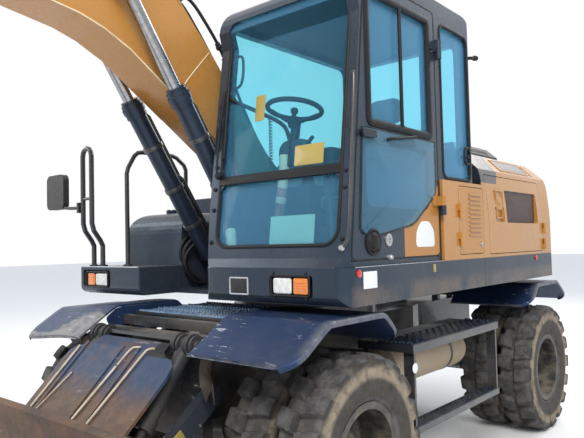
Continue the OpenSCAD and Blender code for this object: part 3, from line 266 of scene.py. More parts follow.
paintLooks = {
    "slate_paint": {**slate, "coat": 0.06, "dustTop": 0.2, "areas": [(sillDust, (0.085, 0.066, 0.052))]},
    # The door paint's near-black area at the handle is painted shade in its recess
    "door_paint": {**slate, "coat": 0.10, "areas": [(handlePocketShade, (0.008, 0.009, 0.012)),
                                                    (goldSlope, goldColour), (goldStep, goldColour)]},
    "cylinder_paint": {"colour": (0.010, 0.014, 0.024), "colour2": (0.014, 0.020, 0.033), "dustTop": 0.2,
                       "dustLow": 0.0, "coat": 0.05, **slateShine},
    "gold_paint": {**gold, "coat": 0.3},
    # The body paint's near-black area inside the shell is painted shade
    "body_paint": {**gold, "roughness": 0.22, "coat": 0.45, "areas": [(cornerPatch, slateColour),
                                                                      (bodyInsideShade, (0.020, 0.018, 0.016))]},
    "fender_paint": navy,
    "fender_sheet": {**navy, "areas": [(byAttribute("dusty"), (0.24, 0.22, 0.19))]},
    "black_paint": {"colour": (0.016, 0.018, 0.022), "colour2": (0.024, 0.026, 0.031), "dustSide": 0.10,
                    "dustTop": 0.5, "dustLow": 0.2, "coat": 0.3},
    "rim_paint": {"colour": (0.014, 0.014, 0.016), "colour2": (0.028, 0.026, 0.024), "roughness": 0.45,
                  "dustSide": 0.25, "dustScale": 9.0, "dustTop": 0.6},
    "cast_iron": {"colour": (0.06, 0.058, 0.055), "colour2": (0.09, 0.085, 0.078), "roughness": 0.6,
                  "dustSide": 0.3, "dustLow": 0.4, "bump": 0.35},
    "worn_steel": {"colour": (0.050, 0.031, 0.022), "colour2": (0.115, 0.056, 0.029), "roughness": 0.5,
                   "toneScale": 7.0, "dustSide": 0.02, "dustTop": 0.10, "dustLow": 0.04, "bump": 0.3,
                   "bumpScale": 45.0, "specular": 0.25, "scratches": 0.6,
                   "scratchColour": (0.30, 0.28, 0.27),
                   "areas": [(coverNavy, (0.018, 0.036, 0.080)), (behindBlade, (0.020, 0.025, 0.036)),
                             # The near-black area is painted shade in the torn gap at the plate's upper edge
                             (tornGapShade, (0.004, 0.004, 0.004))]},
    "dark_steel": {"colour": (0.015, 0.017, 0.022), "colour2": (0.034, 0.032, 0.032), "roughness": 0.5,
                   "dustSide": 0.05, "dustTop": 0.25, "dustLow": 0.08, "specular": 0.3},
    "deck_steel": {"colour": (0.09, 0.15, 0.24), "colour2": (0.16, 0.24, 0.35), "roughness": 0.4,
                   "metallic": 0.4, "toneScale": 12.0},
    "tan_tank": {"colour": (0.36, 0.28, 0.19), "colour2": (0.44, 0.35, 0.25), "roughness": 0.6},
    "bare_edge": {"colour": (0.30, 0.32, 0.35), "colour2": (0.42, 0.43, 0.45), "roughness": 0.45,
                  "toneScale": 14.0, "dustTop": 0.3},
    "dusty_edge": {"colour": (0.40, 0.32, 0.23), "colour2": (0.56, 0.48, 0.38), "roughness": 0.8,
                   "toneScale": 12.0, "bump": 0.4},
    # Pale edge: partly bare worn paint, partly a painted highlight along the edge
    "worn_edge_and_highlight": {"colour": (0.80, 0.70, 0.48), "colour2": (0.66, 0.52, 0.30), "roughness": 0.5,
                  "toneScale": 6.0, "dustTop": 0.1, "dustLow": 0.0},
    "tyre_rubber": {"colour": (0.034, 0.031, 0.029), "colour2": (0.052, 0.046, 0.041), "roughness": 0.75,
                    "dust": (0.20, 0.16, 0.12), "dustSide": 0.25, "dustLow": 0.15, "dustScale": 9.0,
                    "bump": 0.5, "bumpScale": 60.0},
    "flap_rubber": {"colour": (0.024, 0.020, 0.017), "colour2": (0.060, 0.045, 0.032), "roughness": 0.8,
                    "toneScale": 9.0, "dustSide": 0.05, "dustLow": 0.05},
    "rubber_seal": {"colour": (0.006, 0.007, 0.009), "colour2": (0.010, 0.011, 0.013), "roughness": 0.5,
                    "dustTop": 0.05, "dustSide": 0.0, "dustLow": 0.0, "specular": 0.25},
    "black_plastic": {"colour": (0.018, 0.018, 0.019), "colour2": (0.024, 0.024, 0.026), "roughness": 0.5,
                      "dustTop": 0.25, "dustLow": 0.0},
    "hood_mesh": {"colour": (0.02, 0.02, 0.022), "colour2": (0.03, 0.03, 0.032), "roughness": 0.5},
    "lining": {"colour": (0.030, 0.036, 0.046), "colour2": (0.038, 0.044, 0.056), "roughness": 0.8,
               "dustTop": 0.0, "dustLow": 0.0},
    "wrap_pale": {"colour": (0.90, 0.46, 0.34), "colour2": (0.95, 0.60, 0.46), "roughness": 0.7,
                  "toneScale": 14.0, "dustTop": 0.1},
    "wrap_brown": {"colour": (0.42, 0.12, 0.08), "colour2": (0.52, 0.17, 0.12), "roughness": 0.7,
                   "toneScale": 14.0, "dustTop": 0.1},
    "sign_yellow": {"colour": (0.28, 0.22, 0.05), "colour2": (0.33, 0.25, 0.06), "roughness": 0.35,
                    "dustTop": 0.1, "dustLow": 0.0, "coat": 0.3},
    "sign_white": {"colour": (0.62, 0.64, 0.63), "colour2": (0.70, 0.71, 0.70), "roughness": 0.4,
                   "dustLow": 0.0, "coat": 0.3},
    "sign_pale": {"colour": (0.50, 0.40, 0.30), "colour2": (0.56, 0.46, 0.35), "roughness": 0.4,
                  "dustLow": 0.0, "coat": 0.3},
}
materials = {name: weatheredPaint(name, look) for name, look in paintLooks.items()}


def plainMaterial(name, colour, roughness, metallic, coat):
    material, tree, shader = newMaterial(name)
    coords = objectCoords(tree)
    wear = noiseOf(tree, coords, 35.0, 4.0, 0.6)
    darker = tuple(0.8 * value for value in colour)
    link(tree, mixColour(tree, rampOf(tree, wear, 0.3, 0.7), colour, darker), shader.inputs["Base Color"])
    link(tree, rampOf(tree, wear, 0.3, 0.8, roughness, roughness + 0.1), shader.inputs["Roughness"])
    shader.inputs["Metallic"].default_value = metallic
    shader.inputs["Coat Weight"].default_value = coat
    return material


# A pane lets a tinted picture through, and its own blue body colour, a painted sky reflection, shows more at
# a glance;
# the least share that the body has is low under the crossbar and lowAbove over it
def glassMaterial(name, tint, body, low, lowAbove):
    material, tree, shader = newMaterial(name)
    height = splitOf(tree, objectCoords(tree))[2]
    clear = tree.nodes.new("ShaderNodeBsdfTransparent")
    clear.inputs["Color"].default_value = (*tint, 1)
    # The body colour is a painted sky reflection, lit like a plain diffuse colour
    shader.inputs["Base Color"].default_value = (*body, 1)
    shader.inputs["Roughness"].default_value = 0.03
    shader.inputs["Specular IOR Level"].default_value = 0.8
    weight = tree.nodes.new("ShaderNodeLayerWeight")
    weight.inputs["Blend"].default_value = 0.5
    glanceReflection = mathOf(tree, "POWER", weight.outputs["Facing"], 2.0)
    least = rampOf(tree, height, 2.0, 2.1, low, lowAbove)
    share = mathOf(tree, "ADD", least, mathOf(tree, "MULTIPLY", glanceReflection, 0.74))
    mix = tree.nodes.new("ShaderNodeMixShader")
    link(tree, share, mix.inputs[0])
    link(tree, clear.outputs[0], mix.inputs[1])
    link(tree, shader.outputs[0], mix.inputs[2])
    link(tree, mix.outputs[0], tree.nodes["Material Output"].inputs["Surface"])
    return material


# Wire mesh: holes where two waves along y and z are both high, coloured dark as painted shade seen through
# them
def meshMaterial(name, wire, holeShade, pitch):
    material, tree, shader = newMaterial(name)
    axes = splitOf(tree, objectCoords(tree))
    waves = [mathOf(tree, "SINE", mathOf(tree, "MULTIPLY", axes[index], 2 * math.pi / pitch))
             for index in (1, 2)]
    gaps = rampOf(tree, mathOf(tree, "MINIMUM", *waves), -0.45, -0.20)
    # The holes' colour is painted shade, not an opening
    link(tree, mixColour(tree, gaps, wire, holeShade), shader.inputs["Base Color"])
    shader.inputs["Roughness"].default_value = 0.55
    bumpOf(tree, shader, mathOf(tree, "SUBTRACT", 1.0, gaps), 0.8, 0.002)
    return material


def clothMaterial():
    material, tree, shader = newMaterial("seat_cloth")
    coords = objectCoords(tree)
    weave = noiseOf(tree, coords, 420.0, 2.0, 0.5)
    link(tree, mixColour(tree, weave, (0.02, 0.02, 0.022), (0.05, 0.05, 0.054)),
         shader.inputs["Base Color"])
    shader.inputs["Roughness"].default_value = 0.9
    shader.inputs["Sheen Weight"].default_value = 0.3
    bumpOf(tree, shader, weave, 0.4, 0.001)
    return material


# Tyre: grey-brown rubber, sidewalls darker as painted shade, pale dust in a ring on the sidewall and in the
# grooves, by the attribute "dusty"
def tyreMaterial():
    material, tree, shader = newMaterial("tyre_tread")
    coords = objectCoords(tree)
    ring = tree.nodes.new("ShaderNodeAttribute")
    ring.attribute_name = "dusty"
    tone = rampOf(tree, noiseOf(tree, coords, 11.0, 6.0, 0.7), 0.33, 0.67)
    base = mixColour(tree, tone, (0.034, 0.032, 0.031), (0.098, 0.092, 0.087))
    # Painted shade: sidewalls, whose normals point across the machine, darker than the tread as if out of
    # the light
    facing = splitOf(tree, tree.nodes.new("ShaderNodeNewGeometry").outputs["Normal"])[0]
    sidewallShade = rampOf(tree, mathOf(tree, "ABSOLUTE", facing), 0.80, 0.95, 0.0, 0.75)
    base = mixColour(tree, sidewallShade, base, (0.018, 0.017, 0.016))
    grain = rampOf(tree, noiseOf(tree, coords, 16.0, 6.0, 0.7), 0.30, 0.62, 0.35, 1.0)
    mask = mathOf(tree, "MULTIPLY", ring.outputs["Fac"], grain, clamp=True)
    link(tree, mixColour(tree, mask, base, (0.30, 0.24, 0.17)), shader.inputs["Base Color"])
    shader.inputs["Roughness"].default_value = 0.8
    shader.inputs["Specular IOR Level"].default_value = 0.3
    rough = mathOf(tree, "ADD", noiseOf(tree, coords, 60.0, 5.0, 0.7),
                   noiseOf(tree, coords, 19.0, 4.0, 0.6))
    bumpOf(tree, shader, rough, 0.7, 0.006)
    return material


# Colour, roughness, metallic and coat of the plain ones
plainLooks = {
    "chrome_rod": ((0.32, 0.32, 0.33), 0.22, 1.0, 0.0), "bright_bolt": ((0.45, 0.45, 0.46), 0.35, 0.9, 0.0),
    "dark_bolt": ((0.03, 0.03, 0.032), 0.4, 0.5, 0.0), "lamp_lens": ((0.70, 0.71, 0.68), 0.1, 0.0, 0.8),
    "amber_lens": ((0.75, 0.20, 0.02), 0.12, 0.0, 0.8), "red_lens": ((0.50, 0.015, 0.012), 0.15, 0.0, 0.8),
}
materials.update({name: plainMaterial(name, *look) for name, look in plainLooks.items()})
# Tint, body (a painted sky reflection) and least shares of the panes; wire, painted shade in the holes, and
# pitch of the meshes
glassLooks = {"window_glass": ((0.70, 0.940, 0.965), (0.20, 0.50, 0.80), 0.07, 0.0),
              "dark_glass": ((0.74, 0.88, 0.92), (0.14, 0.29, 0.40), 0.09, 0.09)}
meshLooks = {"mesh_pale": ((0.34, 0.32, 0.31), (0.10, 0.09, 0.09), 0.016),
             "mesh_brown": ((0.085, 0.055, 0.048), (0.018, 0.012, 0.011), 0.014)}
materials.update({name: glassMaterial(name, *look) for name, look in glassLooks.items()})
materials.update({name: meshMaterial(name, *look) for name, look in meshLooks.items()})
materials["seat_cloth"] = clothMaterial()
materials["tyre_tread"] = tyreMaterial()
print("materials made")

slotOf = {row["node"]: row["material_slot"] for row in frame["record"]["subparts"]}
nodeFinish = {"body_shell": "body_paint", "grille_door": "body_paint", "cab_door": "door_paint",
              "blade_rods": "dark_steel", "blade_cylinders": "dark_steel",
              "lift_cylinders": "cylinder_paint"}
for name, node in frame["nodes"].items():
    node.data.materials.clear()
    node.data.materials.append(materials[nodeFinish.get(name, slotOf[name])])
print("nodes dressed")


# Forms: each is worked out as whole arrays, and a part is (points, faces)

# Quads over a grid of rows and columns of points, closed round either way where asked
def gridPart(points, closeRows=False, closeCols=True):
    rows, cols = points.shape[:2]
    upper = np.arange(rows if closeRows else rows - 1)[:, None]
    left = np.arange(cols if closeCols else cols - 1)[None, :]
    lower, right = (upper + 1) % rows, (left + 1) % cols
    corners = [upper * cols + left, upper * cols + right, lower * cols + right, lower * cols + left]
    faces = np.stack([np.broadcast_to(corner, (upper.size, left.size)) for corner in corners], -1)
    return points.reshape(-1, 3), faces.reshape(-1, 4)


# One mesh of all parts at the origin: doubles merged, faces turned outwards, smooth up to an angle;
# attribute is a name and a value for each point
def makePiece(name, parts, finish, body, angle=35, attribute=None):
    starts = np.cumsum([0] + [len(points) for points, faces in parts[:-1]])
    points = np.concatenate([points for points, faces in parts])
    faces = np.concatenate([part[1] + start for part, start in zip(parts, starts)]).astype(np.int32)
    mesh = bpy.data.meshes.new(name)
    mesh.vertices.add(len(points))
    mesh.vertices.foreach_set("co", points.astype(np.float32).ravel())
    mesh.loops.add(faces.size)
    mesh.loops.foreach_set("vertex_index", faces.ravel())
    mesh.polygons.add(len(faces))
    mesh.polygons.foreach_set("loop_start", np.arange(0, faces.size, 4, dtype=np.int32))
    mesh.update(calc_edges=True)
    if attribute is not None:
        layer = mesh.attributes.new(attribute[0], "FLOAT", "POINT")
        layer.data.foreach_set("value", attribute[1].astype(np.float32).ravel())
    work = bmesh.new()
    work.from_mesh(mesh)
    bmesh.ops.remove_doubles(work, verts=work.verts, dist=2e-5)
    bmesh.ops.dissolve_degenerate(work, edges=work.edges, dist=1e-6)
    bmesh.ops.recalc_face_normals(work, faces=work.faces)
    work.to_mesh(mesh)
    work.free()
    mesh.polygons.foreach_set("use_smooth", np.ones(len(mesh.polygons), bool))
    mesh.set_sharp_from_angle(angle=math.radians(angle))
    mesh.materials.append(materials[finish])
    piece = bpy.data.objects.new(name, mesh)
    scene.collection.objects.link(piece)
    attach(piece, body)
    return piece


# A line through given points as a Catmull-Rom spline, sampled evenly per span
def smoothLine(points, perSpan=8):
    points = np.asarray(points, float)
    ends = np.concatenate([2 * points[:1] - points[1:2], points, 2 * points[-1:] - points[-2:-1]])
    before, start, end, after = ends[:-3, None], ends[1:-2, None], ends[2:-1, None], ends[3:, None]
    t = np.linspace(0, 1, perSpan, endpoint=False)[None, :, None]
    curve = 0.5 * (2 * start + (end - before) * t + (2 * before - 5 * start + 4 * end - after) * t ** 2
                   + (3 * start - before - 3 * end + after) * t ** 3)
    return np.concatenate([curve.reshape(-1, points.shape[1]), points[-1:]])


def unit(vectors):
    return vectors / np.maximum(np.linalg.norm(vectors, axis=-1, keepdims=True), 1e-12)


# A round tube: rings at right angles to the line, drawn in to a point at both ends
def tubePart(line, radius, around=12, side=(0.31, 0.22, 0.92), closed=False):
    line = np.asarray(line, float)
    if closed:
        along = unit(np.roll(line, -1, 0) - np.roll(line, 1, 0))
        scales = np.ones(len(line))
    else:
        along = unit(np.gradient(line, axis=0))
        steps = radius * np.array([0.0, 0.0, 0.12, 0.35])
        scale = np.array([0.0, 0.8, 0.95, 1.0])
        head = line[:1] + steps[:, None] * along[:1]
        tail = line[-1:] - steps[::-1, None] * along[-1:]
        keep = slice(1, -1)
        scales = np.concatenate([scale, np.ones(len(line) - 2), scale[::-1]])
        along = np.concatenate([np.repeat(along[:1], 4, 0), along[keep], np.repeat(along[-1:], 4, 0)])
        line = np.concatenate([head, line[keep], tail])
    first = unit(np.cross(along, np.asarray(side, float)))
    second = np.cross(along, first)
    turn = np.linspace(0, 2 * math.pi, around, endpoint=False)[None, :, None]
    ring = np.cos(turn) * first[:, None] + np.sin(turn) * second[:, None]
    points = line[:, None] + radius * scales[:, None, None] * ring
    return gridPart(points, closeRows=closed)


# A rounded rectangle as a closed outline of points [a, b]
def roundRect(a0, a1, b0, b1, radius, steps=6):
    turn = np.radians(np.linspace(0, 90, steps))[None] + np.radians([0, 90, 180, 270])[:, None]
    midA = np.array([a1 - radius, a0 + radius, a0 + radius, a1 - radius])[:, None]
    midB = np.array([b1 - radius, b1 - radius, b0 + radius, b0 + radius])[:, None]
    return np.stack([midA + radius * np.cos(turn), midB + radius * np.sin(turn)], -1).reshape(-1, 2)


# A closed outline through corners, each corner rounded by a quadratic arc of a given length
def roundedOutline(corners, reach, steps=6):
    corners = np.asarray(corners, float)
    toNext, toLast = unit(np.roll(corners, -1, 0) - corners), unit(np.roll(corners, 1, 0) - corners)
    reach = np.broadcast_to(reach, len(corners))[:, None]
    start, end = (corners + reach * toLast)[:, None], (corners + reach * toNext)[:, None]
    t = np.linspace(0, 1, steps)[None, :, None]
    return ((1 - t) ** 2 * start + 2 * t * (1 - t) * corners[:, None] + t ** 2 * end).reshape(-1, 2)


# An outline moved inwards along its own normals
def insetBy(outline, distance):
    run = unit(np.roll(outline, -1, 0) - np.roll(outline, 1, 0))
    area = np.sum(outline[:, 0] * np.roll(outline[:, 1], -1) - np.roll(outline[:, 0], -1) * outline[:, 1])
    inward = np.stack([-run[:, 1], run[:, 0]], -1) * np.sign(area)
    return outline + distance * inward


# A plate on a surface: place maps (a, b, height) to a point, and the rim is rounded by edge
def platePart(outline, place, low, high, edge=0.003):
    middle = outline.mean(0)
    rows = [(outline * 0 + middle, low), (outline, low), (outline, high - edge)]
    rows += [(insetBy(outline, edge * (1 - math.cos(turn))), high - edge + edge * math.sin(turn))
             for turn in np.radians([30, 60, 90])]
    rows += [(outline * 0 + middle, high)]
    return gridPart(np.stack([place(row[:, 0], row[:, 1], height) for row, height in rows]))


# A frame or seal on a surface: a band between an outline and its inset, with a rounded back
def bandPart(outline, width, place, low, high, steps=7):
    turn = np.linspace(0, math.pi, steps)
    rows = [(insetBy(outline, width * (1 - math.cos(angle)) / 2), low
             + (high - low) * math.sin(angle) ** 0.6) for angle in turn]
    rows = [(rows[0][0], low - 0.002)] + rows + [(rows[-1][0], low - 0.002)]
    return gridPart(np.stack([place(row[:, 0], row[:, 1], height) for row, height in rows]), closeRows=True)


# The machine's front [z, y]: upright at the skirt, then the cab's leaning windscreen and its rounded top
frontLine = ([1.30, 1.509, 1.56, 2.90, 2.975, 3.08], [-1.18, -1.18, -1.15, -0.972, -0.960, -0.925])


def onFront(x, z, height):
    heights, fronts = frontLine
    return np.stack([x, np.interp(z, heights, fronts) - height, z], -1)


def onPlane(axis, level, outward=1):
    def place(a, b, height):
        flat = np.full(np.shape(a), level + outward * height, float)
        order = {"X": (flat, a, b), "Y": (a, flat, b), "Z": (a, b, flat)}[axis]
        return np.stack(np.broadcast_arrays(*order), -1)
    return place


# Something turned about an axis: a profile of [radius, height] from pole to pole, or a closed one if hollow
def turnedPart(profile, centre, axis, around=24, hollow=False):
    profile = np.asarray(profile, float)
    axis = unit(np.asarray(axis, float))
    first = unit(np.cross(axis, (0.3, 0.5, 0.81)))
    second = np.cross(axis, first)
    turn = np.linspace(0, 2 * math.pi, around, endpoint=False)[None, :, None]
    ring = np.cos(turn) * first + np.sin(turn) * second
    points = np.asarray(centre, float) + profile[:, :1, None] * ring + profile[:, 1:, None] * axis
    return gridPart(points, closeRows=hollow)


# A knob: straight up to its rim, then in to a narrower top
def studPart(centre, axis, radius, rim, top, height, crown=None, around=24):
    profile = [[0, 0], [radius, 0], [radius, rim], [top, height], [0, crown or height]]
    return turnedPart(profile, centre, axis, around)


def boltPart(centre, axis, radius=0.011, height=0.009):
    washer = [[0, -0.002], [radius * 1.45, -0.002], [radius * 1.45, 0.0025], [0, 0.0025]]
    head = studPart(centre, axis, radius, height * 0.75, radius * 0.8, height, around=6)
    return [turnedPart(washer, centre, axis, 16), head]


# Tyres: two on each hub, heavy lugs in two staggered rows

tyreLook = {
    "half": [(0.2546, 0.0), (0.2546, 0.098), (0.281, 0.0995), (0.288, 0.117), (0.330, 0.131),
             (0.384, 0.1375), (0.4315, 0.1345), (0.456, 0.126), (0.474, 0.116), (0.4870, 0.100),
             (0.4885, 0.05), (0.4885, 0.0)],
    "lugs": 18, "lugHalf": 0.325, "edge": 0.055, "lugHeight": 0.039, "slant": 0.14, "perLug": 22,
    "axleZ": 0.5275, "twinX": 0.960, "twinPitch": 0.325, "bladeY": -1.020, "steerY": 1.780,
    "maxRadius": 0.5272, "maxAcross": 0.1389, "turned": (0.11, 0.0),
}


def smoothStep(value, low, high):
    t = np.clip((value - low) / (high - low), 0, 1)
    return t * t * (3 - 2 * t)


# The carcass is a half section mirrored and carried round the axle; a lug lifts it along its normal where
# both its place across the tread and its place round the tyre fall inside the lug, with eased edges
def tyrePart(look, middleX, axleY, turned):
    half = np.array(look["half"])
    run = np.concatenate([[0], np.cumsum(np.hypot(*np.diff(half, axis=0).T))])
    marks = np.unique(np.concatenate([np.linspace(0, run[5], 9), np.linspace(run[5], run[-1], 24)]))
    half = np.stack([np.interp(marks, run, half[:, 0]), np.interp(marks, run, half[:, 1])], -1)
    section = np.concatenate([half, (half * (1, -1))[-2:0:-1]])
    tangent = unit(np.roll(section, -1, 0) - np.roll(section, 1, 0))
    normal = np.stack([-tangent[:, 1], tangent[:, 0]], -1)
    normal *= np.sign(normal[np.argmax(section[:, 0]), 0])
    radius, across = section[:, :1], section[:, 1:]
    columns = look["lugs"] * look["perLug"]
    turn = np.linspace(0, look["lugs"], columns, endpoint=False)[None]
    slant = look["slant"] * np.abs(across) / 0.12
    phase = (turn + np.where(across > 0, 0.0, 0.5) + slant + 0.5) % 1 - 0.5
    widen = 0.04 * smoothStep(0.49 - radius, 0.0, 0.05)
    lugShare = 1 - smoothStep(np.abs(phase), look["lugHalf"] - widen - look["edge"], look["lugHalf"] - widen)
    inner = smoothStep(np.abs(across), 0.004, 0.014)
    side = smoothStep(radius, 0.436, 0.462)
    height = look["lugHeight"] * (0.45 + 0.55 * smoothStep(radius, 0.445, 0.478))
    crown = 1 - 0.10 * smoothStep(np.abs(across), 0.06, 0.12)
    lift = height * crown * lugShare * inner * side
    pulled = np.minimum(radius + lift * normal[:, :1], look["maxRadius"])
    spread = np.clip(across + lift * normal[:, 1:], -look["maxAcross"], look["maxAcross"])
    angle = 2 * math.pi * (turn / look["lugs"]) + turned
    points = np.stack(np.broadcast_arrays(middleX + spread, axleY + pulled * np.cos(angle),
                                          look["axleZ"] + pulled * np.sin(angle)), -1)
    ring = smoothStep(radius, 0.385, 0.420) * (1 - smoothStep(radius, 0.448, 0.470)) * 0.85
    groove = (1 - lugShare) * smoothStep(radius, 0.44, 0.46) * 0.10
    low = 0.10 * smoothStep(radius, 0.28, 0.31) * (1 - smoothStep(radius, 0.40, 0.45))
    dusty = np.maximum(np.maximum(ring, groove), low) * np.ones_like(turn)
    return gridPart(points, closeRows=True), dusty


for end, axleY in (("blade", tyreLook["bladeY"]), ("steer", tyreLook["steerY"])):
    for side, sign in (("left", 1), ("right", -1)):
        pair = [tyrePart(tyreLook, sign * tyreLook["twinX"] + offset * tyreLook["twinPitch"] / 2, axleY,
                         turned) for offset, turned in zip((-1, 1), tyreLook["turned"])]
        marks = np.concatenate([dusty.ravel() for part, dusty in pair])
        tyre = makePiece(f"treadedTyres_{end}_{side}", [part for part, dusty in pair], "tyre_tread",
                         f"wheels_{end}_{side}", angle=50, attribute=("dusty", marks))
        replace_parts(tyre, f"tyres_{end}_{side}")
print("tyres made")


# Fenders: a folded sheet with a curled rim and rounded outer corners

fenderLook = {
    "inner": 0.535, "outer": 1.250, "sheet": 0.013, "rim": 0.030, "corner": 0.150, "bent": 0.045,
    "line": [(-1.630, 1.074), (-1.618, 1.084), (-1.392, 1.2245), (-1.352, 1.246), (-1.308, 1.2575),
             (-1.10, 1.2578), (-0.880, 1.2575), (-0.836, 1.2515), (-0.800, 1.232), (-0.655, 1.096),
             (-0.640, 1.076)],
    "plate": [(-1.42, 1.178), (-1.33, 1.242), (-0.833, 1.242), (-0.753, 1.168), (-0.803, 1.068),
              (-1.35, 1.068)],
}


# Points laid out at the blade end go over to the steering end, turned round
def atSteerEnd(y):
    return 2 * tyreLook["steerY"] - (y - tyreLook["bladeY"] + tyreLook["steerY"])


# A closed section (top, curled rim, underside) goes along the fold line; near both ends the outer edge
# draws in on a quarter circle; dust lies by the edges, and on one fender in a patch down its front slope
def fenderParts(look, side, steer, bent=0.0, patch=0.0):
    line = smoothLine(look["line"], 6)
    run = np.concatenate([[0], np.cumsum(np.hypot(*np.diff(line, axis=0).T))])
    marks = np.unique(np.concatenate([np.linspace(0, 0.11, 14), np.linspace(0.11, run[-1] - 0.11, 60),
                                      np.linspace(run[-1] - 0.11, run[-1], 14)]))
    line = np.stack([np.interp(marks, run, line[:, 0]), np.interp(marks, run, line[:, 1])], -1)
    tangent = unit(np.gradient(line, axis=0))
    down = np.stack([tangent[:, 1], -tangent[:, 0]], -1)
    fromEnd = np.minimum(marks, run[-1] - marks)
    reach = look["corner"]
    drawn = np.where(fromEnd < reach, reach - np.sqrt(np.maximum(reach ** 2 - (reach - fromEnd) ** 2, 0)),
                     0)
    outer = look["outer"] - drawn
    sheet, rim = look["sheet"], look["rim"]
    sweep = np.linspace(0, 1, 14)
    curl = [(0.006, 0.0015), (0.0015, 0.006), (0.0, 0.014), (0.0, rim - 0.005), (0.004, rim),
            (0.009, rim - 0.004), (0.011, sheet + 0.006)]
    columns = [(look["inner"] + (outer - 0.012 - look["inner"]) * t, 0.0 * t) for t in sweep]
    columns += [(outer - inward, depth) for inward, depth in curl]
    columns += [(look["inner"] + (outer - 0.016 - look["inner"]) * t, sheet) for t in sweep[::-1]]
    rows = []
    for across, depth in columns:
        across = np.broadcast_to(across, marks.shape)
        rows.append(np.stack([across, line[:, 0] + depth * down[:, 0], line[:, 1] + depth * down[:, 1]],
                             -1))
    points = np.stack(rows, 1)
    points[..., 2] -= bent * smoothStep(points[..., 0], 0.62, 1.25)
    middle = (points[:, :14] + points[:, -14:][:, ::-1]) / 2
    ends = []
    for index in (0, -1):
        ring = points[index].copy()
        ring[:14] = middle[index]
        ring[-14:] = middle[index][::-1]
        ring[14:-14] = middle[index][-1]
        ends.append(ring)
    points = np.concatenate([ends[0][None], points, ends[1][None]])
    marks = np.concatenate([marks[:1], marks, marks[-1:]])
    fromEnd = np.minimum(marks, run[-1] - marks)[:, None]
    edge = np.minimum(fromEnd, look["outer"] - points[..., 0])
    dusty = 0.40 * (1 - smoothStep(edge, 0.008, 0.022))
    wave = 0.012 * np.sin(points[..., 0] * 11) + 0.008 * np.sin(points[..., 0] * 31 + 1)
    reachUp = 0.085 + 0.19 * (1 - smoothStep(points[..., 0], 0.66, 0.98)) + wave
    slope = 0.85 * smoothStep(reachUp - marks[:, None], 0.0, 0.012)
    dusty = np.maximum(dusty, patch * slope)
    if steer:
        points[..., 1] = atSteerEnd(points[..., 1])
    points[..., 0] *= side
    return gridPart(points), dusty


# Upright plate along the inner edge
def fenderPlate(look, side, steer):
    outline = roundedOutline(look["plate"], 0.03)
    points, faces = platePart(outline, onPlane("X", look["inner"]), 0.0, 0.012, 0.002)
    if steer:
        points[:, 1] = atSteerEnd(points[:, 1])
    points[:, 0] *= side
    return points, faces


for side, steer in ((1, False), (-1, False), (1, True), (-1, True)):
    bent, patch = (fenderLook["bent"], 1.0) if side < 0 and not steer else (0.0, 0.0)
    sheet, dusty = fenderParts(fenderLook, side, steer, bent, patch)
    plate = fenderPlate(fenderLook, side, steer)
    name = f"fender_{'steer' if steer else 'blade'}_{'left' if side > 0 else 'right'}"
    marks = np.concatenate([dusty.ravel(), np.zeros(len(plate[0]))])
    fender = makePiece(name, [sheet, plate], "fender_sheet", "chassis", angle=40,
                       attribute=("dusty", marks))
    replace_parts(fender, "fenders")
print("fenders made")


# Cab: seals, door glass, handle, pillar trim, wiper and what shows inside

cabLook = {
    "side": 1.225, "front": (0.243, 1.150), "frontZ": (1.640, 3.060), "crossbar": (2.010, 2.064),
    "seal": 0.022,
    "door": [(-1.112, 1.545), (-0.95, 2.955), (-0.885, 3.112), (-0.122, 3.112), (-0.122, 1.545)],
    "pane": [(-1.03, 1.70), (-0.985, 2.268), (-0.165, 2.268), (-0.165, 1.93), (-0.455, 1.735),
             (-0.93, 1.66)],
    "paneCorners": [0.03, 0.02, 0.02, 0.05, 0.06, 0.09],
}


def cabTrim(look):
    side = onPlane("X", look["side"])
    (x0, x1), (z0, z1) = look["front"], look["frontZ"]
    wide = look["seal"]
    seal = bandPart(roundRect(x0 - wide, x1 + wide, z0 - wide, z1 + wide, 0.11, 9), wide, onFront, -0.004,
                    0.008)
    low, high = look["crossbar"]
    bar = platePart(roundRect(x0 - 0.006, x1 + 0.006, low, high, 0.004), onFront, -0.02, 0.009)
    rear = bandPart(roundRect(-0.058, 0.383, 2.032, 3.073, 0.07, 9), 0.026, side, -0.003, 0.007)
    gap = bandPart(insetBy(roundedOutline(look["door"], 0.05), -0.006), 0.012, side, -0.004, 0.002)
    window = bandPart(roundRect(-0.935, -0.185, 2.270, 3.055, 0.05, 8), 0.048, side, -0.003, 0.012)
    slider = tubePart([(look["side"] + 0.004, -0.560, z) for z in np.linspace(2.31, 3.02, 4)], 0.011)
    return [seal, bar, rear, gap], [window, slider]


shellTrim, doorTrim = cabTrim(cabLook)
makePiece("cabSeals", shellTrim, "rubber_seal", "upper")
makePiece("doorSeals", doorTrim, "rubber_seal", "cab_door")


# The door skin's lower pane: a dark mirror-like sheet, wider than the opening behind it
def doorPane(look):
    outline = roundedOutline(look["pane"], look["paneCorners"])
    place = onPlane("X", look["side"])
    return [platePart(outline, place, 0.0005, 0.006, 0.002)], [bandPart(outline, 0.010, place, 0.0, 0.008)]


pane, rim = doorPane(cabLook)
makePiece("doorPane", pane, "dark_glass", "cab_door")
makePiece("doorPaneRim", rim, "rubber_seal", "cab_door")


# Handle as [out from the door, y, z]; round vent, lock and catch as [y, z], two with their profiles
doorLook = {
    "side": 1.225,
    "handle": [(0.004, -0.735, 2.214), (0.030, -0.720, 2.219), (0.034, -0.62, 2.233), (0.034, -0.50, 2.252),
               (0.030, -0.455, 2.259), (0.004, -0.440, 2.262)],
    "vent": (-0.905, 1.640), "lock": (-0.745, 1.650), "catch": (-0.755, 1.553),
    "ventProfile": [[0, -0.002], [0.074, -0.002], [0.074, 0.008], [0.064, 0.014], [0.056, 0.006],
                    [0.052, 0.012], [0.03, 0.026], [0, 0.030]],
    "lockProfile": [[0, -0.002], [0.036, -0.002], [0.036, 0.006], [0.030, 0.009], [0.013, 0.009],
                    [0.011, 0.002], [0, 0.002]],
}


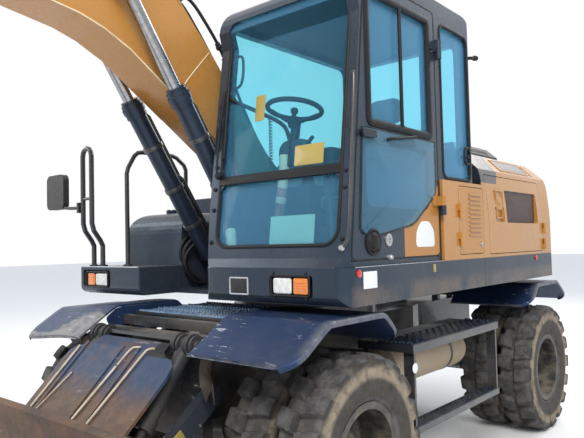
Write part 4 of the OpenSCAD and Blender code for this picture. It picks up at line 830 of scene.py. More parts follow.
def doorFittings(look):
    x, (y, z) = look["side"], look["vent"]
    handle = tubePart(smoothLine([(x + out, *place) for out, *place in look["handle"]], 6), 0.010)
    vent = turnedPart(look["ventProfile"], (x, y, z), (1, 0, 0), 40)
    bars = [tubePart([(x + 0.022, y + along, z + row) for along in (-0.03, 0, 0.03)], 0.004)
            for row in np.linspace(-0.034, 0.034, 5)]
    lock = turnedPart(look["lockProfile"], (x, *look["lock"]), (1, 0, 0), 32)
    catch = studPart((x, *look["catch"]), (1, 0, 0), 0.016, 0.02, 0.011, 0.03, 0.032)
    return [handle, vent] + bars, [lock, catch]


dark, bright = doorFittings(doorLook)
makePiece("doorHandle", dark, "rubber_seal", "cab_door")
makePiece("doorLock", bright, "bright_bolt", "cab_door")


# Gutter pipe down the door's front edge, wiper beside the far pillar, bolts on both front pillars; places
# on the front are [x, z, height over it]
pillarLook = {
    "gutter": [(1.212, -1.035, 2.55), (1.232, -1.056, 2.50), (1.238, -1.102, 2.10), (1.238, -1.136, 1.78),
               (1.232, -1.148, 1.665), (1.205, -1.150, 1.618)],
    "gutterBolt": (1.192, -1.146, 1.612), "pivot": (0.232, 2.075, 0.0), "outward": (0, -1, -0.13),
    "arm": [(0.232, 2.075, 0.012), (0.228, 2.10, 0.035), (0.222, 2.35, 0.035), (0.232, 2.62, 0.024)],
    "blade": [(0.262, 2.18, 0.016), (0.256, 2.45, 0.016), (0.250, 2.80, 0.016)],
    "farX": 0.192, "farBolts": (1.66, 1.86, 1.99, 2.13, 2.52), "nearX": 1.190,
    "nearBolts": (1.66, 1.93, 2.02),
}


def pillarTrim(look):
    outward = look["outward"]
    gutter = tubePart(smoothLine(look["gutter"], 8), 0.009)
    bolt = studPart(look["gutterBolt"], (0.3, -0.95, 0), 0.017, 0.012, 0.010, 0.02, 0.021)
    arm = tubePart(smoothLine([onFront(*place) for place in look["arm"]], 6), 0.007)
    blade = tubePart(smoothLine([onFront(*place) for place in look["blade"]], 5), 0.010)
    pivot = turnedPart([[0, 0], [0.024, 0], [0.022, 0.03], [0.014, 0.042], [0, 0.044]],
                       onFront(*look["pivot"]), outward)
    bolts = [studPart(onFront(look["farX"], z, 0.0), outward, 0.013, 0.008, 0.008, 0.012, around=16)
             for z in look["farBolts"]]
    bolts += [studPart(onFront(look["nearX"], z, 0.0), outward, 0.011, 0.006, 0.006, 0.010, around=16)
              for z in look["nearBolts"]]
    return gutter, bolt, [arm, blade, pivot] + bolts


gutter, bolt, dark = pillarTrim(pillarLook)
makePiece("gutterPipe", [gutter], "black_paint", "upper")
makePiece("gutterBolt", [bolt], "bright_bolt", "upper")
makePiece("wiperAndBolts", dark, "rubber_seal", "upper")


# Inside: roof lining, floor mat, levers' boots, a loop on the far pillar and a curved pipe to the wheel
insideLook = {
    "hook": [(0.235, -0.93, 2.86), (0.30, -0.94, 2.84), (0.315, -0.95, 2.74), (0.30, -0.96, 2.66),
             (0.24, -0.96, 2.64)],
    "grab": [(0.225, -1.00, 2.60), (0.28, -1.00, 2.55), (0.42, -0.92, 2.47), (0.56, -0.86, 2.38),
             (0.60, -0.84, 2.28)],
    "boot": [[0, 0], [0.055, 0], [0.048, 0.03], [0.040, 0.045], [0.036, 0.07], [0.02, 0.085], [0, 0.085]],
    "boots": ((0.35, -0.36, 2.045), (0.95, -0.36, 2.045)), "liningZ": 3.10, "floorZ": 1.5205,
}


def cabInside(look):
    lining = platePart(roundRect(0.24, 1.135, -0.85, 0.36, 0.08), onPlane("Z", look["liningZ"], -1),
                       -0.010, 0.030, 0.012)
    mat = platePart(roundRect(0.23, 1.15, -1.05, 0.35, 0.05), onPlane("Z", look["floorZ"]), 0.0, 0.012,
                    0.004)
    boots = [turnedPart(look["boot"], place, (0, 0, 1), 20) for place in look["boots"]]
    return [lining, mat], [tubePart(smoothLine(look["hook"], 6), 0.009),
                           tubePart(smoothLine(look["grab"], 6), 0.013)] + boots


flat, tubes = cabInside(insideLook)
makePiece("cabLining", flat, "lining", "upper")
makePiece("cabFittings", tubes, "rubber_seal", "upper")


# Bare signs: each is a thin blank plate with a rounded rim
def behindGlass(x, z, height):
    return onFront(x, z, height - 0.034)


def onGlass(x, z, height):
    return onFront(x, z, height - 0.0185)


cabSide = onPlane("X", 1.225)
skirt = onPlane("Y", -1.180, -1)
sill = onPlane("X", 1.245)
doorSign = [(-0.431, 1.603), (-0.424, 1.70), (-0.365, 1.760), (-0.260, 1.760), (-0.203, 1.70),
            (-0.198, 1.603)]
signs = {
    "signLowerPane": ("sign_pale", "upper", roundRect(0.650, 0.975, 1.610, 1.800, 0.006), behindGlass,
                      0.003),
    "signUpperPane": ("sign_yellow", "upper", roundRect(0.816, 1.022, 2.078, 2.195, 0.005), onGlass, 0.003),
    "signLeftPane": ("sign_yellow", "upper", roundRect(0.477, 0.552, 2.388, 2.548, 0.005), onGlass, 0.003),
    "signDoor": ("sign_white", "cab_door", roundedOutline(doorSign, 0.03), cabSide, 0.002),
    "signSill": ("sign_white", "upper", roundRect(-1.035, -0.905, 1.395, 1.485, 0.004), sill, 0.002),
    "signSillSmall": ("sign_yellow", "upper", roundRect(-0.262, -0.232, 1.445, 1.495, 0.004), sill, 0.002),
    "signPlate": ("dark_bolt", "upper", roundRect(0.405, 0.535, 1.362, 1.442, 0.006), skirt, 0.003),
}
for name, (finish, body, outline, place, height) in signs.items():
    makePiece(name, [platePart(outline, place, -0.001, height, 0.001)], finish, body)
plateFrame = bandPart(roundRect(0.392, 0.548, 1.350, 1.454, 0.010), 0.010, skirt, 0.0, 0.005)
makePiece("signPlateFrame", [plateFrame], "bare_edge", "upper")
print("cab made")


# Steering wheel, column and the stand beside it: the wheel's plane leans to the seat

wheelLook = {
    "centre": (0.600, -0.790, 2.480), "lean": 11.0, "radius": 0.170, "rim": 0.0155, "dish": 0.075,
    "column": [(0.600, -0.775, 2.40), (0.598, -0.79, 2.32), (0.592, -0.81, 2.22), (0.585, -0.82, 2.12)],
    "wrap": [(0.548, -0.835, 2.195), (0.545, -0.838, 2.10), (0.530, -0.840, 2.00), (0.505, -0.843, 1.86),
             (0.495, -0.845, 1.76)],
    "bands": (0.0, 0.30, 0.34, 0.48, 0.60, 0.70, 1.0), "coil": (0.430, -0.83, 2.12, 2.44), "coilTurns": 16,
    "spokes": (160, 230, 300), "hub": [[0, -0.045], [0.026, -0.045], [0.034, -0.02], [0.042, 0.0],
                                       [0.040, 0.016], [0.026, 0.026], [0, 0.028]],
    "knob": [[0, -0.006], [0.014, -0.006], [0.014, 0.016], [0.023, 0.028], [0.025, 0.042], [0.018, 0.056],
             [0, 0.060]],
    "jars": ((0.262, -1.035, 1.535, 0.034, 0.215), (0.352, -1.040, 1.535, 0.024, 0.100)),
}


# A point of the wheel's own plane [a to the left side, b to the front] with a height over it
def onWheel(look, a, b, height):
    lean = math.radians(look["lean"])
    across = np.array([1.0, 0.0, 0.0])
    ahead = np.array([0.0, -math.cos(lean), math.sin(lean)])
    above = np.array([0.0, math.sin(lean), math.cos(lean)])
    a, b, height = (np.asarray(value, float)[..., None] for value in (a, b, height))
    return np.array(look["centre"]) + a * across + b * ahead + height * above


# Rim, three spokes of three bars each that drop to the hub, the knob on it and the column under it
def wheelParts(look):
    turn = np.linspace(0, 2 * math.pi, 64, endpoint=False)
    radius = look["radius"]
    parts = [tubePart(onWheel(look, radius * np.cos(turn), radius * np.sin(turn), 0 * turn), look["rim"],
                      16, side=(0.01, 0.02, 1), closed=True)]
    for angle in np.radians(look["spokes"]):
        for offset in (-0.012, 0.0, 0.012):
            out = np.array([0.012, 0.05, 0.10, 0.14, radius - 0.004])
            drop = -look["dish"] * np.array([1.0, 0.92, 0.50, 0.15, 0.0])
            narrow = offset * np.array([1.6, 1.3, 1.0, 1.0, 1.0])
            a = out * math.cos(angle) - narrow * math.sin(angle)
            b = out * math.sin(angle) + narrow * math.cos(angle)
            parts.append(tubePart(smoothLine(onWheel(look, a, b, drop), 5), 0.010, 10, side=(0.1, 0.2, 1)))
    hubPlace = onWheel(look, 0.0, 0.0, -look["dish"])
    above = onWheel(look, 0.0, 0.0, 1.0) - onWheel(look, 0.0, 0.0, 0.0)
    parts.append(turnedPart(look["hub"], hubPlace, above, 32))
    parts.append(turnedPart(look["knob"], onWheel(look, 0.0, 0.0, 0.026 - look["dish"]), above))
    parts.append(tubePart(smoothLine(look["column"], 5), 0.030, 20, side=(1, 0.1, 0.1)))
    return parts


# Pod behind the column, lever, foot block, monitor on its post, and a coiled cable with both ends held
def standParts(look):
    pod = platePart(roundRect(0.480, 0.715, 2.070, 2.290, 0.075, 8), onPlane("Y", -0.755, -1), 0.0, 0.075,
                    0.030)
    lever = smoothLine([(0.690, -0.80, 2.235), (0.735, -0.815, 2.265), (0.765, -0.82, 2.285)], 5)
    foot = platePart(roundRect(0.525, 0.675, 1.525, 1.640, 0.03), onPlane("Y", -0.795, -1), 0.0, 0.100,
                     0.010)
    stem = tubePart(smoothLine([(0.500, -0.845, 1.78), (0.545, -0.845, 1.68), (0.590, -0.845, 1.60)], 5),
                    0.032, 20, side=(1, 0.1, 0.1))
    screen = platePart(roundRect(0.962, 1.038, 1.905, 2.175, 0.02), onPlane("Y", -0.905, -1), 0.0, 0.090,
                       0.012)
    post = tubePart([(1.0, -0.975, z) for z in (1.53, 1.60, 1.80, 1.92)], 0.014, 16)
    x, y, low, high = look["coil"]
    turns = look["coilTurns"]
    turn = np.linspace(0, 2 * math.pi * turns, turns * 14)
    coil = tubePart(np.stack([x + 0.011 * np.cos(turn), y + 0.011 * np.sin(turn),
                              np.linspace(low, high, len(turn))], -1), 0.0035, 6, side=(0.02, 0.01, 1))
    return [pod, tubePart(lever, 0.012), foot, stem, screen, post, coil]


# Bands wrapped round the lower column, pale and brown by turns: a tube cut into lengths; then two jars
def wrapParts(look):
    line = smoothLine(look["wrap"], 10)
    run = np.concatenate([[0], np.cumsum(np.linalg.norm(np.diff(line, axis=0), axis=1))])
    pale, brown = [], []
    for index, (start, end) in enumerate(zip(look["bands"], look["bands"][1:])):
        marks = np.linspace(start, end, 9) * run[-1]
        length = np.stack([np.interp(marks, run, line[:, axis]) for axis in range(3)], -1)
        (brown if index % 2 else pale).append(tubePart(length, 0.033 - 0.001 * (index % 2), 24,
                                                       side=(1, 0.1, 0.1)))
    for x, y, z, radius, height in look["jars"]:
        pale.append(turnedPart([[0, 0], [radius - 0.004, 0], [radius, 0.006], [radius, height - 0.02],
                                [radius * 0.7, height - 0.004], [0, height]], (x, y, z), (0, 0, 1), 28))
    return pale, brown


pale, brown = wrapParts(wheelLook)
for name, parts, finish in (("steeringWheel", wheelParts(wheelLook), "rubber_seal"),
                            ("wheelStand", standParts(wheelLook), "lining"), ("wrapPale", pale, "wrap_pale"),
                            ("wrapBrown", brown, "wrap_brown")):
    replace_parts(makePiece(name, parts, finish, "upper"), "console")
print("steering wheel made")


# Upper structure: worn top edges, lamps, marker lights, locks, meshes and bolts

upperLook = {"half": 1.245, "sillZ": 1.509, "front": -1.180, "markerY": (-1.080, 1.560), "markerZ": 1.478,
             "sillBolts": ((-1.225, -1.075), (-1.105, -1.075), (-0.89, -1.0)), "sillTop": 1.5144,
             "cap": (-0.88, -0.56, 1.930), "capRing": 0.05}


def plateEdges(look):
    tail = [(look["half"] - 0.004, y, look["sillZ"]) for y in np.linspace(-1.10, 1.93, 14)]
    front = [(x, look["front"] + 0.003, look["sillZ"] - 0.001) for x in np.linspace(0.205, 1.16, 8)]
    serrated = [(x, look["front"] + 0.004, 1.503) for x in np.linspace(-1.235, -0.515, 8)]
    return [tubePart(tail, 0.0032, 8), tubePart(front, 0.0028, 8), tubePart(serrated, 0.0048, 8)]


makePiece("wornEdges", plateEdges(upperLook), "bare_edge", "upper")


# Each head lamp is the x range of its clear lens and of its amber one, and each bezel has an x range too
lampLook = {
    "lamps": ((0.735, 0.868, 0.882, 0.985), (-1.044, -0.893, -1.150, -1.060)), "low": 1.366, "high": 1.456,
    "bezels": ((0.716, 1.004), (-1.172, -0.874)),
    "bolts": ((0.745, 1.478), (0.975, 1.478), (0.745, 1.344), (0.975, 1.344), (-0.90, 1.478),
              (-1.14, 1.478)),
}


# A clear lens with flutes and an amber one with ribs, both domed
def lampParts(look, x0, x1, amber0, amber1):
    low, high = look["low"], look["high"]
    face = onPlane("Y", -1.166, -1)
    lens = platePart(roundRect(x0, x1, low, high, 0.016), face, 0.0, 0.012, 0.008)
    flutes = [tubePart([(x, -1.1795, z) for z in (1.375, 1.41, 1.447)], 0.0022, 8)
              for x in np.linspace(x0 + 0.02, x1 - 0.02, 7)]
    amber = platePart(roundRect(amber0, amber1, low, high, 0.012), face, 0.0, 0.012, 0.006)
    ribs = [tubePart([(x, -1.179, z) for x in np.linspace(amber0 + 0.012, amber1 - 0.012, 3)], 0.0018, 8)
            for z in (1.385, 1.400, 1.415, 1.430)]
    return [lens] + flutes, [amber] + ribs


clear, amber = [], []
for row in lampLook["lamps"]:
    clearParts, amberParts = lampParts(lampLook, *row)
    clear += clearParts
    amber += amberParts
markers = [studPart((1.2455, y, upperLook["markerZ"]), (1, 0, 0), 0.020, 0.008, 0.014, 0.0125, 0.0135)
           for y in upperLook["markerY"]]
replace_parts(makePiece("lampClear", clear, "lamp_lens", "upper"), "lamps")
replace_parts(makePiece("lampAmber", amber, "amber_lens", "upper"), "lamps")
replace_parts(makePiece("markerLamps", markers, "red_lens", "upper"), "lamps")
bezels = [bandPart(roundRect(x0, x1, 1.350, 1.472, 0.02), 0.014, skirt, -0.004, 0.006)
          for x0, x1 in lampLook["bezels"]]
bezels.append(bandPart(roundRect(0.872, 0.878, 1.368, 1.454, 0.0028, 3), 0.0025, onPlane("Y", -1.172, -1),
                       0.0, 0.004))
for x, z in lampLook["bolts"]:
    bezels += boltPart((x, upperLook["front"], z), (0, -1, 0), 0.006, 0.005)
makePiece("lampBezels", bezels, "rubber_seal", "upper")


# Lock of the louvred door, pull of the grille door, and the mesh in both grille doors
lock = turnedPart([[0, -0.002], [0.018, -0.002], [0.018, 0.006], [0.013, 0.011], [0.006, 0.011],
                   [0.005, 0.006], [0, 0.006]], (1.2455, 0.475, 1.605), (1, 0, 0))
makePiece("louvreLock", [lock], "bright_bolt", "louvre_door")
pull = [bandPart(roundRect(0.772, 0.902, 1.796, 2.01, 0.016), 0.010, onPlane("X", 1.236), 0.0, 0.006),
        platePart(roundRect(0.79, 0.885, 1.86, 1.96, 0.012), onPlane("X", 1.224), 0.0, 0.016, 0.006),
        studPart((1.239, 0.838, 1.905), (1, 0, 0), 0.013, 0.005, 0.009, 0.007)]
makePiece("grillePull", pull, "body_paint", "grille_door")
for side, door in ((1, "grille_door"), (-1, "right_door")):
    meshPanel = platePart(roundRect(0.996, 1.634, 1.767, 2.011, 0.022), onPlane("X", side * 1.2115, side),
                          0.0, 0.002, 0.001)
    makePiece(f"mesh_{door}", [meshPanel], "mesh_brown", door)


# Plane of the engine cover's sloping shoulder: a runs along the machine, b up the slope from its middle
def onShoulder(a, b, height):
    return np.stack([1.125 - 0.714 * b + 0.704 * height, a + 0 * b, 2.227 + 0.704 * b + 0.714 * height], -1)


def onRightShoulder(a, b, height):
    return onShoulder(a, b, height) * (-1, 1, 1)


slopeOutline = roundRect(1.035, 1.660, -0.066, 0.066, 0.020)
shoulders = (onShoulder, onRightShoulder)
slopes = [platePart(slopeOutline, place, 0.001, 0.003, 0.001) for place in shoulders]
makePiece("shoulderMesh", slopes, "mesh_pale", "upper")
rims = [bandPart(insetBy(slopeOutline, -0.008), 0.016, place, 0.0, 0.008) for place in shoulders]
makePiece("shoulderFrame", rims, "body_paint", "upper")

# Catch of the quarter window, and the stub of a lamp at the back of the roof
quarter = [bandPart(roundRect(0.268, 0.372, 2.155, 2.285, 0.045, 8), 0.016, cabSide, 0.0, 0.010),
           turnedPart([[0, 0], [0.014, 0], [0.012, 0.014], [0, 0.016]], (1.2215, 0.325, 2.215), (1, 0, 0))]
stub = smoothLine([(1.20, 0.40, 2.93), (1.228, 0.43, 2.935), (1.235, 0.49, 2.945)], 5)
quarter += [tubePart(stub, 0.012), tubePart([(1.232, 0.475, 2.944), (1.236, 0.498, 2.947),
                                             (1.237, 0.51, 2.949)], 0.019)]
makePiece("quarterCatch", quarter, "rubber_seal", "upper")


# Two bolts in each foot of the hand rails, and eight round the tank's filler
def upperBolts(look):
    places = [(x + offset, y, look["sillTop"]) for x, y in look["sillBolts"] for offset in (-0.026, 0.026)]
    x, y, z = look["cap"]
    reach = look["capRing"]
    places += [(x + reach * math.cos(angle), y + reach * math.sin(angle), z)
               for angle in np.radians(np.arange(0, 360, 45))]
    return [part for place in places for part in boltPart(place, (0, 0, 1), 0.006, 0.006)]


makePiece("upperBolts", upperBolts(upperLook), "dark_bolt", "upper")
print("upper structure made")


# Boom cylinders: gland bolts, two thin pipes on each barrel and the straps round it; pipes are [along the
# barrel, across it, over its axis]
boomLook = {
    "x": -0.175, "liftX": 0.240, "foot": (-0.540, 1.450), "head": (-1.680, 3.210),
    "gland": 1.350, "boltRing": 0.066,
    "pipe": [(0.16, 0.0, 0.062), (0.20, 0.0, 0.086), (0.30, 0.0, 0.088), (1.15, 0.0, 0.088),
             (1.24, 0.0, 0.086), (1.27, 0.0, 0.066)],
    "second": [(0.17, 0.03, 0.055), (0.22, 0.035, 0.080), (0.34, 0.035, 0.083), (0.70, 0.035, 0.083),
               (0.76, 0.033, 0.075), (0.79, 0.03, 0.056)],
    "straps": (0.42, 0.72, 1.05),
    "strap": [[0.062, -0.016], [0.070, -0.016], [0.071, -0.010], [0.071, 0.010], [0.070, 0.016],
              [0.062, 0.016]],
}


def cylinderDress(look):
    foot, head = np.array(look["foot"]), np.array(look["head"])
    axis = (head - foot) / np.linalg.norm(head - foot)
    normal = np.array([axis[1], -axis[0]])

    def at(x, along, across=0.0, lift=0.0):
        y, z = foot + along * axis + lift * normal
        return (x + across, y, z)
    pipes, bolts = [], []
    for sign in (-1, 1):
        x = look["x"] + sign * look["liftX"]
        reach = look["boltRing"]
        for angle in np.radians(np.arange(22.5, 360, 45)):
            centre = at(x, look["gland"], reach * math.cos(angle), reach * math.sin(angle))
            bolts += boltPart(centre, (0, *axis), 0.0095, 0.012)
        for line, radius in ((look["pipe"], 0.011), (look["second"], 0.009)):
            run = [at(x, along, -sign * across, lift) for along, across, lift in line]
            pipes.append(tubePart(smoothLine(run, 6), radius, side=(1, 0.1, 0.1)))
        pipes += [turnedPart(look["strap"], at(x, along), (0, *axis), 32, hollow=True)
                  for along in look["straps"]]
    return pipes, bolts


pipes, bolts = cylinderDress(boomLook)
makePiece("liftPipes", pipes, "black_paint", "lift_cylinders")
makePiece("liftGlandBolts", bolts, "dark_bolt", "lift_cylinders")


# Clamped hoses: two up the boom's back from its foot [y, z], and three short ones at the frame's end
# [x and y as they are, z with its share of each hose's own lift]
hoseLook = {
    "near": [(-1.165, 3.262), (-1.125, 3.280), (-1.050, 3.252), (-0.948, 3.158), (-0.822, 3.015),
             (-0.735, 2.870), (-0.585, 2.600), (-0.410, 2.350), (-0.200, 2.160)],
    "far": [(-1.165, 3.262), (-1.100, 3.225), (-0.990, 3.105), (-0.870, 2.955), (-0.730, 2.765),
            (-0.570, 2.530), (-0.410, 2.330), (-0.200, 2.150)],
    "nearX": -0.041, "farX": -0.080, "fittings": ((-0.826, 3.018), (-0.765, 2.925)),
    "fitting": [[0, -0.026], [0.016, -0.026], [0.019, -0.020], [0.019, -0.006], [0.024, 0.0],
                [0.024, 0.018], [0.016, 0.026], [0, 0.026]],
    "base": [(0.0, -0.62, 1.36, 0), (-0.01, -0.72, 1.42, 1), (-0.02, -0.80, 1.52, 1),
             (-0.015, -0.80, 1.62, 1), (0.0, -0.74, 1.69, 1), (0.01, -0.68, 1.70, 0)],
    "baseHoses": ((-0.455, 0.0), (-0.490, 0.03), (-0.440, -0.04)),
}


def footHoses(look):
    lines = ((look["nearX"], look["near"]), (look["farX"], look["far"]))
    hoses = [tubePart(smoothLine([(x, y, z) for y, z in line], 6), 0.0115, side=(1, 0.05, 0.05))
             for x, line in lines]
    return hoses + [turnedPart(look["fitting"], (look["nearX"], y, z), (0, 0.62, -0.78), 20)
                    for y, z in look["fittings"]]


def baseHoses(look):
    lines = [[(x + across, y, z + share * lift) for across, y, z, share in look["base"]]
             for x, lift in look["baseHoses"]]
    return [tubePart(smoothLine(line, 7), 0.012, side=(1, 0.05, 0.05)) for line in lines]


makePiece("boomHoses", footHoses(hoseLook), "rubber_seal", "boom")
makePiece("baseHoses", baseHoses(hoseLook), "rubber_seal", "upper")


# Work lamp and its arm on the boom's far side
def boomTrim(look):
    x = look["x"] - 0.153
    lamp = platePart(roundRect(-1.72, -1.62, 2.99, 3.09, 0.014), onPlane("X", x - 0.02, -1), 0.0, 0.055,
                     0.012)
    arm = tubePart([(x + 0.004, -1.67, 3.02), (x - 0.012, -1.67, 3.03), (x - 0.03, -1.67, 3.04)], 0.012)
    return [lamp, arm]


makePiece("boomLamp", boomTrim(boomLook), "rubber_seal", "boom")


# Lower edge of the near side plate and the weld line across it, pale as partly bare worn paint and partly a
# painted highlight
def boomEdges(look):
    x = look["x"] + 0.1545
    low = [(-1.10, 2.507), (-1.56, 2.820), (-1.74, 2.905), (-1.89, 2.950), (-2.19, 2.995), (-3.20, 3.155)]
    weld = [(-1.150, 2.690), (-1.126, 2.723), (-1.034, 2.831), (-0.934, 2.944)]
    parts = [tubePart([(x, y, z + 0.004) for y, z in low], 0.0045, 8)]
    parts.append(tubePart(smoothLine([(x - 0.001, y, z) for y, z in weld], 5), 0.0032, 8))
    return parts


makePiece("boomEdges", boomEdges(boomLook), "worn_edge_and_highlight", "boom")
print("boom made")


# Chassis: tread strips, clevis plates, cover ridges, torn flaps, bolts and the air tank

# Each strip is its x range, its y range and the height of its top
treadLook = {
    "pitch": 0.028, "margin": 0.03, "rowPitch": 0.045,
    "tooth": [[0, 0.003], [0.011, 0.003], [0.009, 0.011], [0.004, 0.014], [0, 0.014]],
    "stud": [[0, 0.004], [0.013, 0.004], [0.010, 0.008], [0.006, 0.009], [0, 0.006]],
    "deck": ((-0.50, 0.50, -1.185, -1.02, 1.205), (-0.50, 0.50, -0.98, -0.80, 1.205),
             (-0.50, 0.50, -0.76, -0.57, 1.205)),
    "step": ((0.94, 1.195, -0.45, 0.81, 1.020), (1.095, 1.195, -0.43, 0.79, 0.530)),
}


# Tread strip: a row of teeth along both edges of a plate, its top raised in staggered rows of studs
def treadStrip(look, x0, x1, y0, y1, z):
    pitch, margin = look["pitch"], look["margin"]
    parts = [platePart(roundRect(x0, x1, y0, y1, 0.01), onPlane("Z", z), -0.001, 0.005, 0.002)]
    for x in np.arange(x0 + pitch / 2, x1 - pitch / 3, pitch):
        for y in (y0 + 0.006, y1 - 0.006):
            parts.append(turnedPart(look["tooth"], (x, y, z), (0, 0, 1), 10))
    rows = max(1, int((y1 - y0 - margin) / look["rowPitch"]))
    for row in range(rows):
        y = y0 + margin + (row + 0.5) * (y1 - y0 - 2 * margin) / rows
        for x in np.arange(x0 + pitch, x1 - pitch, pitch * 2):
            parts.append(turnedPart(look["stud"], (x + (row % 2) * pitch, y, z), (0, 0, 1), 12))
    return parts


for name, strips, finish in (("deckTread", "deck", "deck_steel"), ("stepTread", "step", "cylinder_paint")):
    parts = [part for strip in treadLook[strips] for part in treadStrip(treadLook, *strip)]
    makePiece(name, parts, finish, "chassis")


# Stacked clevis plates [x, radius] round the pin [y, z] at the head of each blade cylinder, and its cap
clevisLook = {
    "pin": (-1.515, 1.100), "capX": 0.487,
    "plates": ((0.323, 0.058), (0.348, 0.066), (0.372, 0.060), (0.428, 0.060), (0.452, 0.066),
               (0.477, 0.058)),
    "cap": [[0, -0.006], [0.032, -0.006], [0.032, 0.006], [0.026, 0.012], [0.0, 0.014]],
}


def clevisParts(look, side):
    parts = []
    for x, radius in look["plates"]:
        parts.append(turnedPart([[0, -0.007], [radius - 0.004, -0.007], [radius, -0.003], [radius, 0.003],
                                 [radius - 0.004, 0.007], [0, 0.007]], (side * x, *look["pin"]), (1, 0, 0),
                                36))
    return parts + [turnedPart(look["cap"], (side * look["capX"], *look["pin"]), (side, 0, 0))]


makePiece("clevises", clevisParts(clevisLook, 1) + clevisParts(clevisLook, -1), "dark_steel", "chassis")


# Ridges down the cover plate, worn bright: each is its corners [x, y] and radius, on the fold line [y, z]
coverLook = {
    "fold": [(-1.998, 0.7435), (-1.80, 0.933), (-1.66, 1.069), (-1.648, 1.0785), (-1.620, 1.0795)],
    "ridges": (([(0.255, -1.622), (0.221, -1.652), (0.172, -1.995)], 0.0065),
               ([(0.130, -1.624), (0.083, -1.664), (0.068, -1.740)], 0.0055),
               ([(0.066, -1.745), (0.030, -1.995)], 0.0065), ([(-0.417, -1.678), (-0.412, -1.995)], 0.0065),
               ([(-0.288, -1.809), (-0.345, -1.995)], 0.0040)),
}


def coverRidges(look):
    across, rise = np.array(look["fold"]).T
    parts = []
    for corners, radius in look["ridges"]:
        line = smoothLine([(x, y, 0.0) for x, y in corners], 8)
        line[:, 2] = np.interp(line[:, 1], across, rise)
        parts.append(tubePart(line, radius, 8, side=(1, 0, 0)))
    return parts


makePiece("coverRidges", coverRidges(coverLook), "dusty_edge", "blade")


# Torn rubber flaps under the cover and both fenders: a sheet with a ragged lower edge, bent by two waves;
# each has its x range, its y, its z range, the start of its waves and its lean
flapRows = ((0.245, 0.335, -1.585, 0.80, 0.965, 0.4, 0.02),
            (-0.335, -0.245, -1.585, 0.78, 0.965, 1.7, 0.02),
            (0.555, 0.640, -1.565, 0.80, 1.080, 2.2, 0.03),
            (-0.640, -0.555, -1.565, 0.82, 1.080, 0.9, 0.03))


def flapPart(x0, x1, y, z0, z1, seed, lean):
    u = np.linspace(0, 1, 18)[:, None]
    v = np.linspace(0, 1, 12)[None, :]
    ragged = 0.22 * np.abs(np.sin(7 * u + seed)) + 0.12 * np.abs(np.sin(19 * u + 2 * seed))
    x = x0 + (x1 - x0) * u + 0.012 * np.sin(5 * v + seed)
    z = z1 - (z1 - z0) * v * (1 - ragged)
    depth = y + 0.018 * np.sin(6 * u + 3 * v + seed) + lean * v
    front = np.stack(np.broadcast_arrays(x, depth, z), -1)
    back = front + (0, 0.007, 0)
    return gridPart(np.concatenate([front, back[:, ::-1]], 1))


makePiece("tornFlaps", [flapPart(*row) for row in flapRows], "flap_rubber", "chassis")


# Bolts [y, z] through the fenders' upright plates; the air tank behind the step with its two bands
fenderBolts = ((-1.094, 1.098), (-0.956, 1.090), (-0.812, 1.090), (-1.23, 1.098))
bolts = [part for side in (-1, 1) for y, z in fenderBolts
         for part in boltPart((side * fenderLook["inner"], y, z), (-side, 0, 0), 0.013, 0.012)]
makePiece("fenderBolts", bolts, "bright_bolt", "chassis")

tankLook = {
    "x": 0.880, "y": -0.330, "z": 0.830, "bandY": (-0.12, 0.42),
    "shell": [[0, -0.020], [0.100, -0.020], [0.132, -0.004], [0.1345, 0.02], [0.1345, 0.96], [0.132, 0.984],
              [0.100, 1.0], [0, 1.0]],
    "band": [[0, -0.016], [0.1365, -0.016], [0.1375, -0.012], [0.1375, 0.012], [0.1365, 0.016], [0, 0.016]],
}
tank = turnedPart(tankLook["shell"], (tankLook["x"], tankLook["y"], tankLook["z"]), (0, 1, 0), 48)
makePiece("airTank", [tank], "tan_tank", "chassis")
bands = [turnedPart(tankLook["band"], (tankLook["x"], y, tankLook["z"]), (0, 1, 0), 48)
         for y in tankLook["bandY"]]
makePiece("tankBands", bands, "black_paint", "chassis")
disc = turnedPart([[0, -0.001], [0.030, -0.001], [0.030, 0.002], [0.027, 0.003], [0, 0.003]],
                  (1.1905, -0.430, 0.880), (1, 0, 0), 32)
makePiece("signStep", [disc], "sign_white", "chassis")


# Plane of the blade's near arm: a runs down the arm, b across it
def onArmSide(a, b, height):
    return np.stack([a * 0 + 0.5305 + height, -1.700 - 0.83 * a + 0.56 * b, 0.655 - 0.56 * a - 0.83 * b],
                    -1)


armSign = platePart(roundRect(-0.045, 0.045, -0.028, 0.028, 0.004), onArmSide, -0.001, 0.002, 0.001)
makePiece("signArm", [armSign], "sign_yellow", "blade")
print("chassis made")


# Seat: each cushion starts smaller than its place, is blown up as cloth, then gets its sewn channels

seatLook = {
    "seatPad": {"low": (0.428, -0.392, 1.866), "high": (0.872, 0.088, 1.968), "channels": "x",
                "cap": 0.018},
    "backPad": {"low": (0.433, 0.148, 1.912), "high": (0.867, 0.250, 2.488), "channels": "z", "cap": 0.018},
    "headPad": {"low": (0.528, 0.168, 2.512), "high": (0.772, 0.240, 2.690), "channels": None,
                "cap": 0.012},
}
cushionLook = {"bulge": 0.10, "corner": 6.0, "voxel": 0.0075, "pressure": 4.0, "quality": 5, "tension": 30,
               "mass": 0.3, "frames": 15, "margin": 0.006, "channel": 0.007, "channelWidth": 0.004}


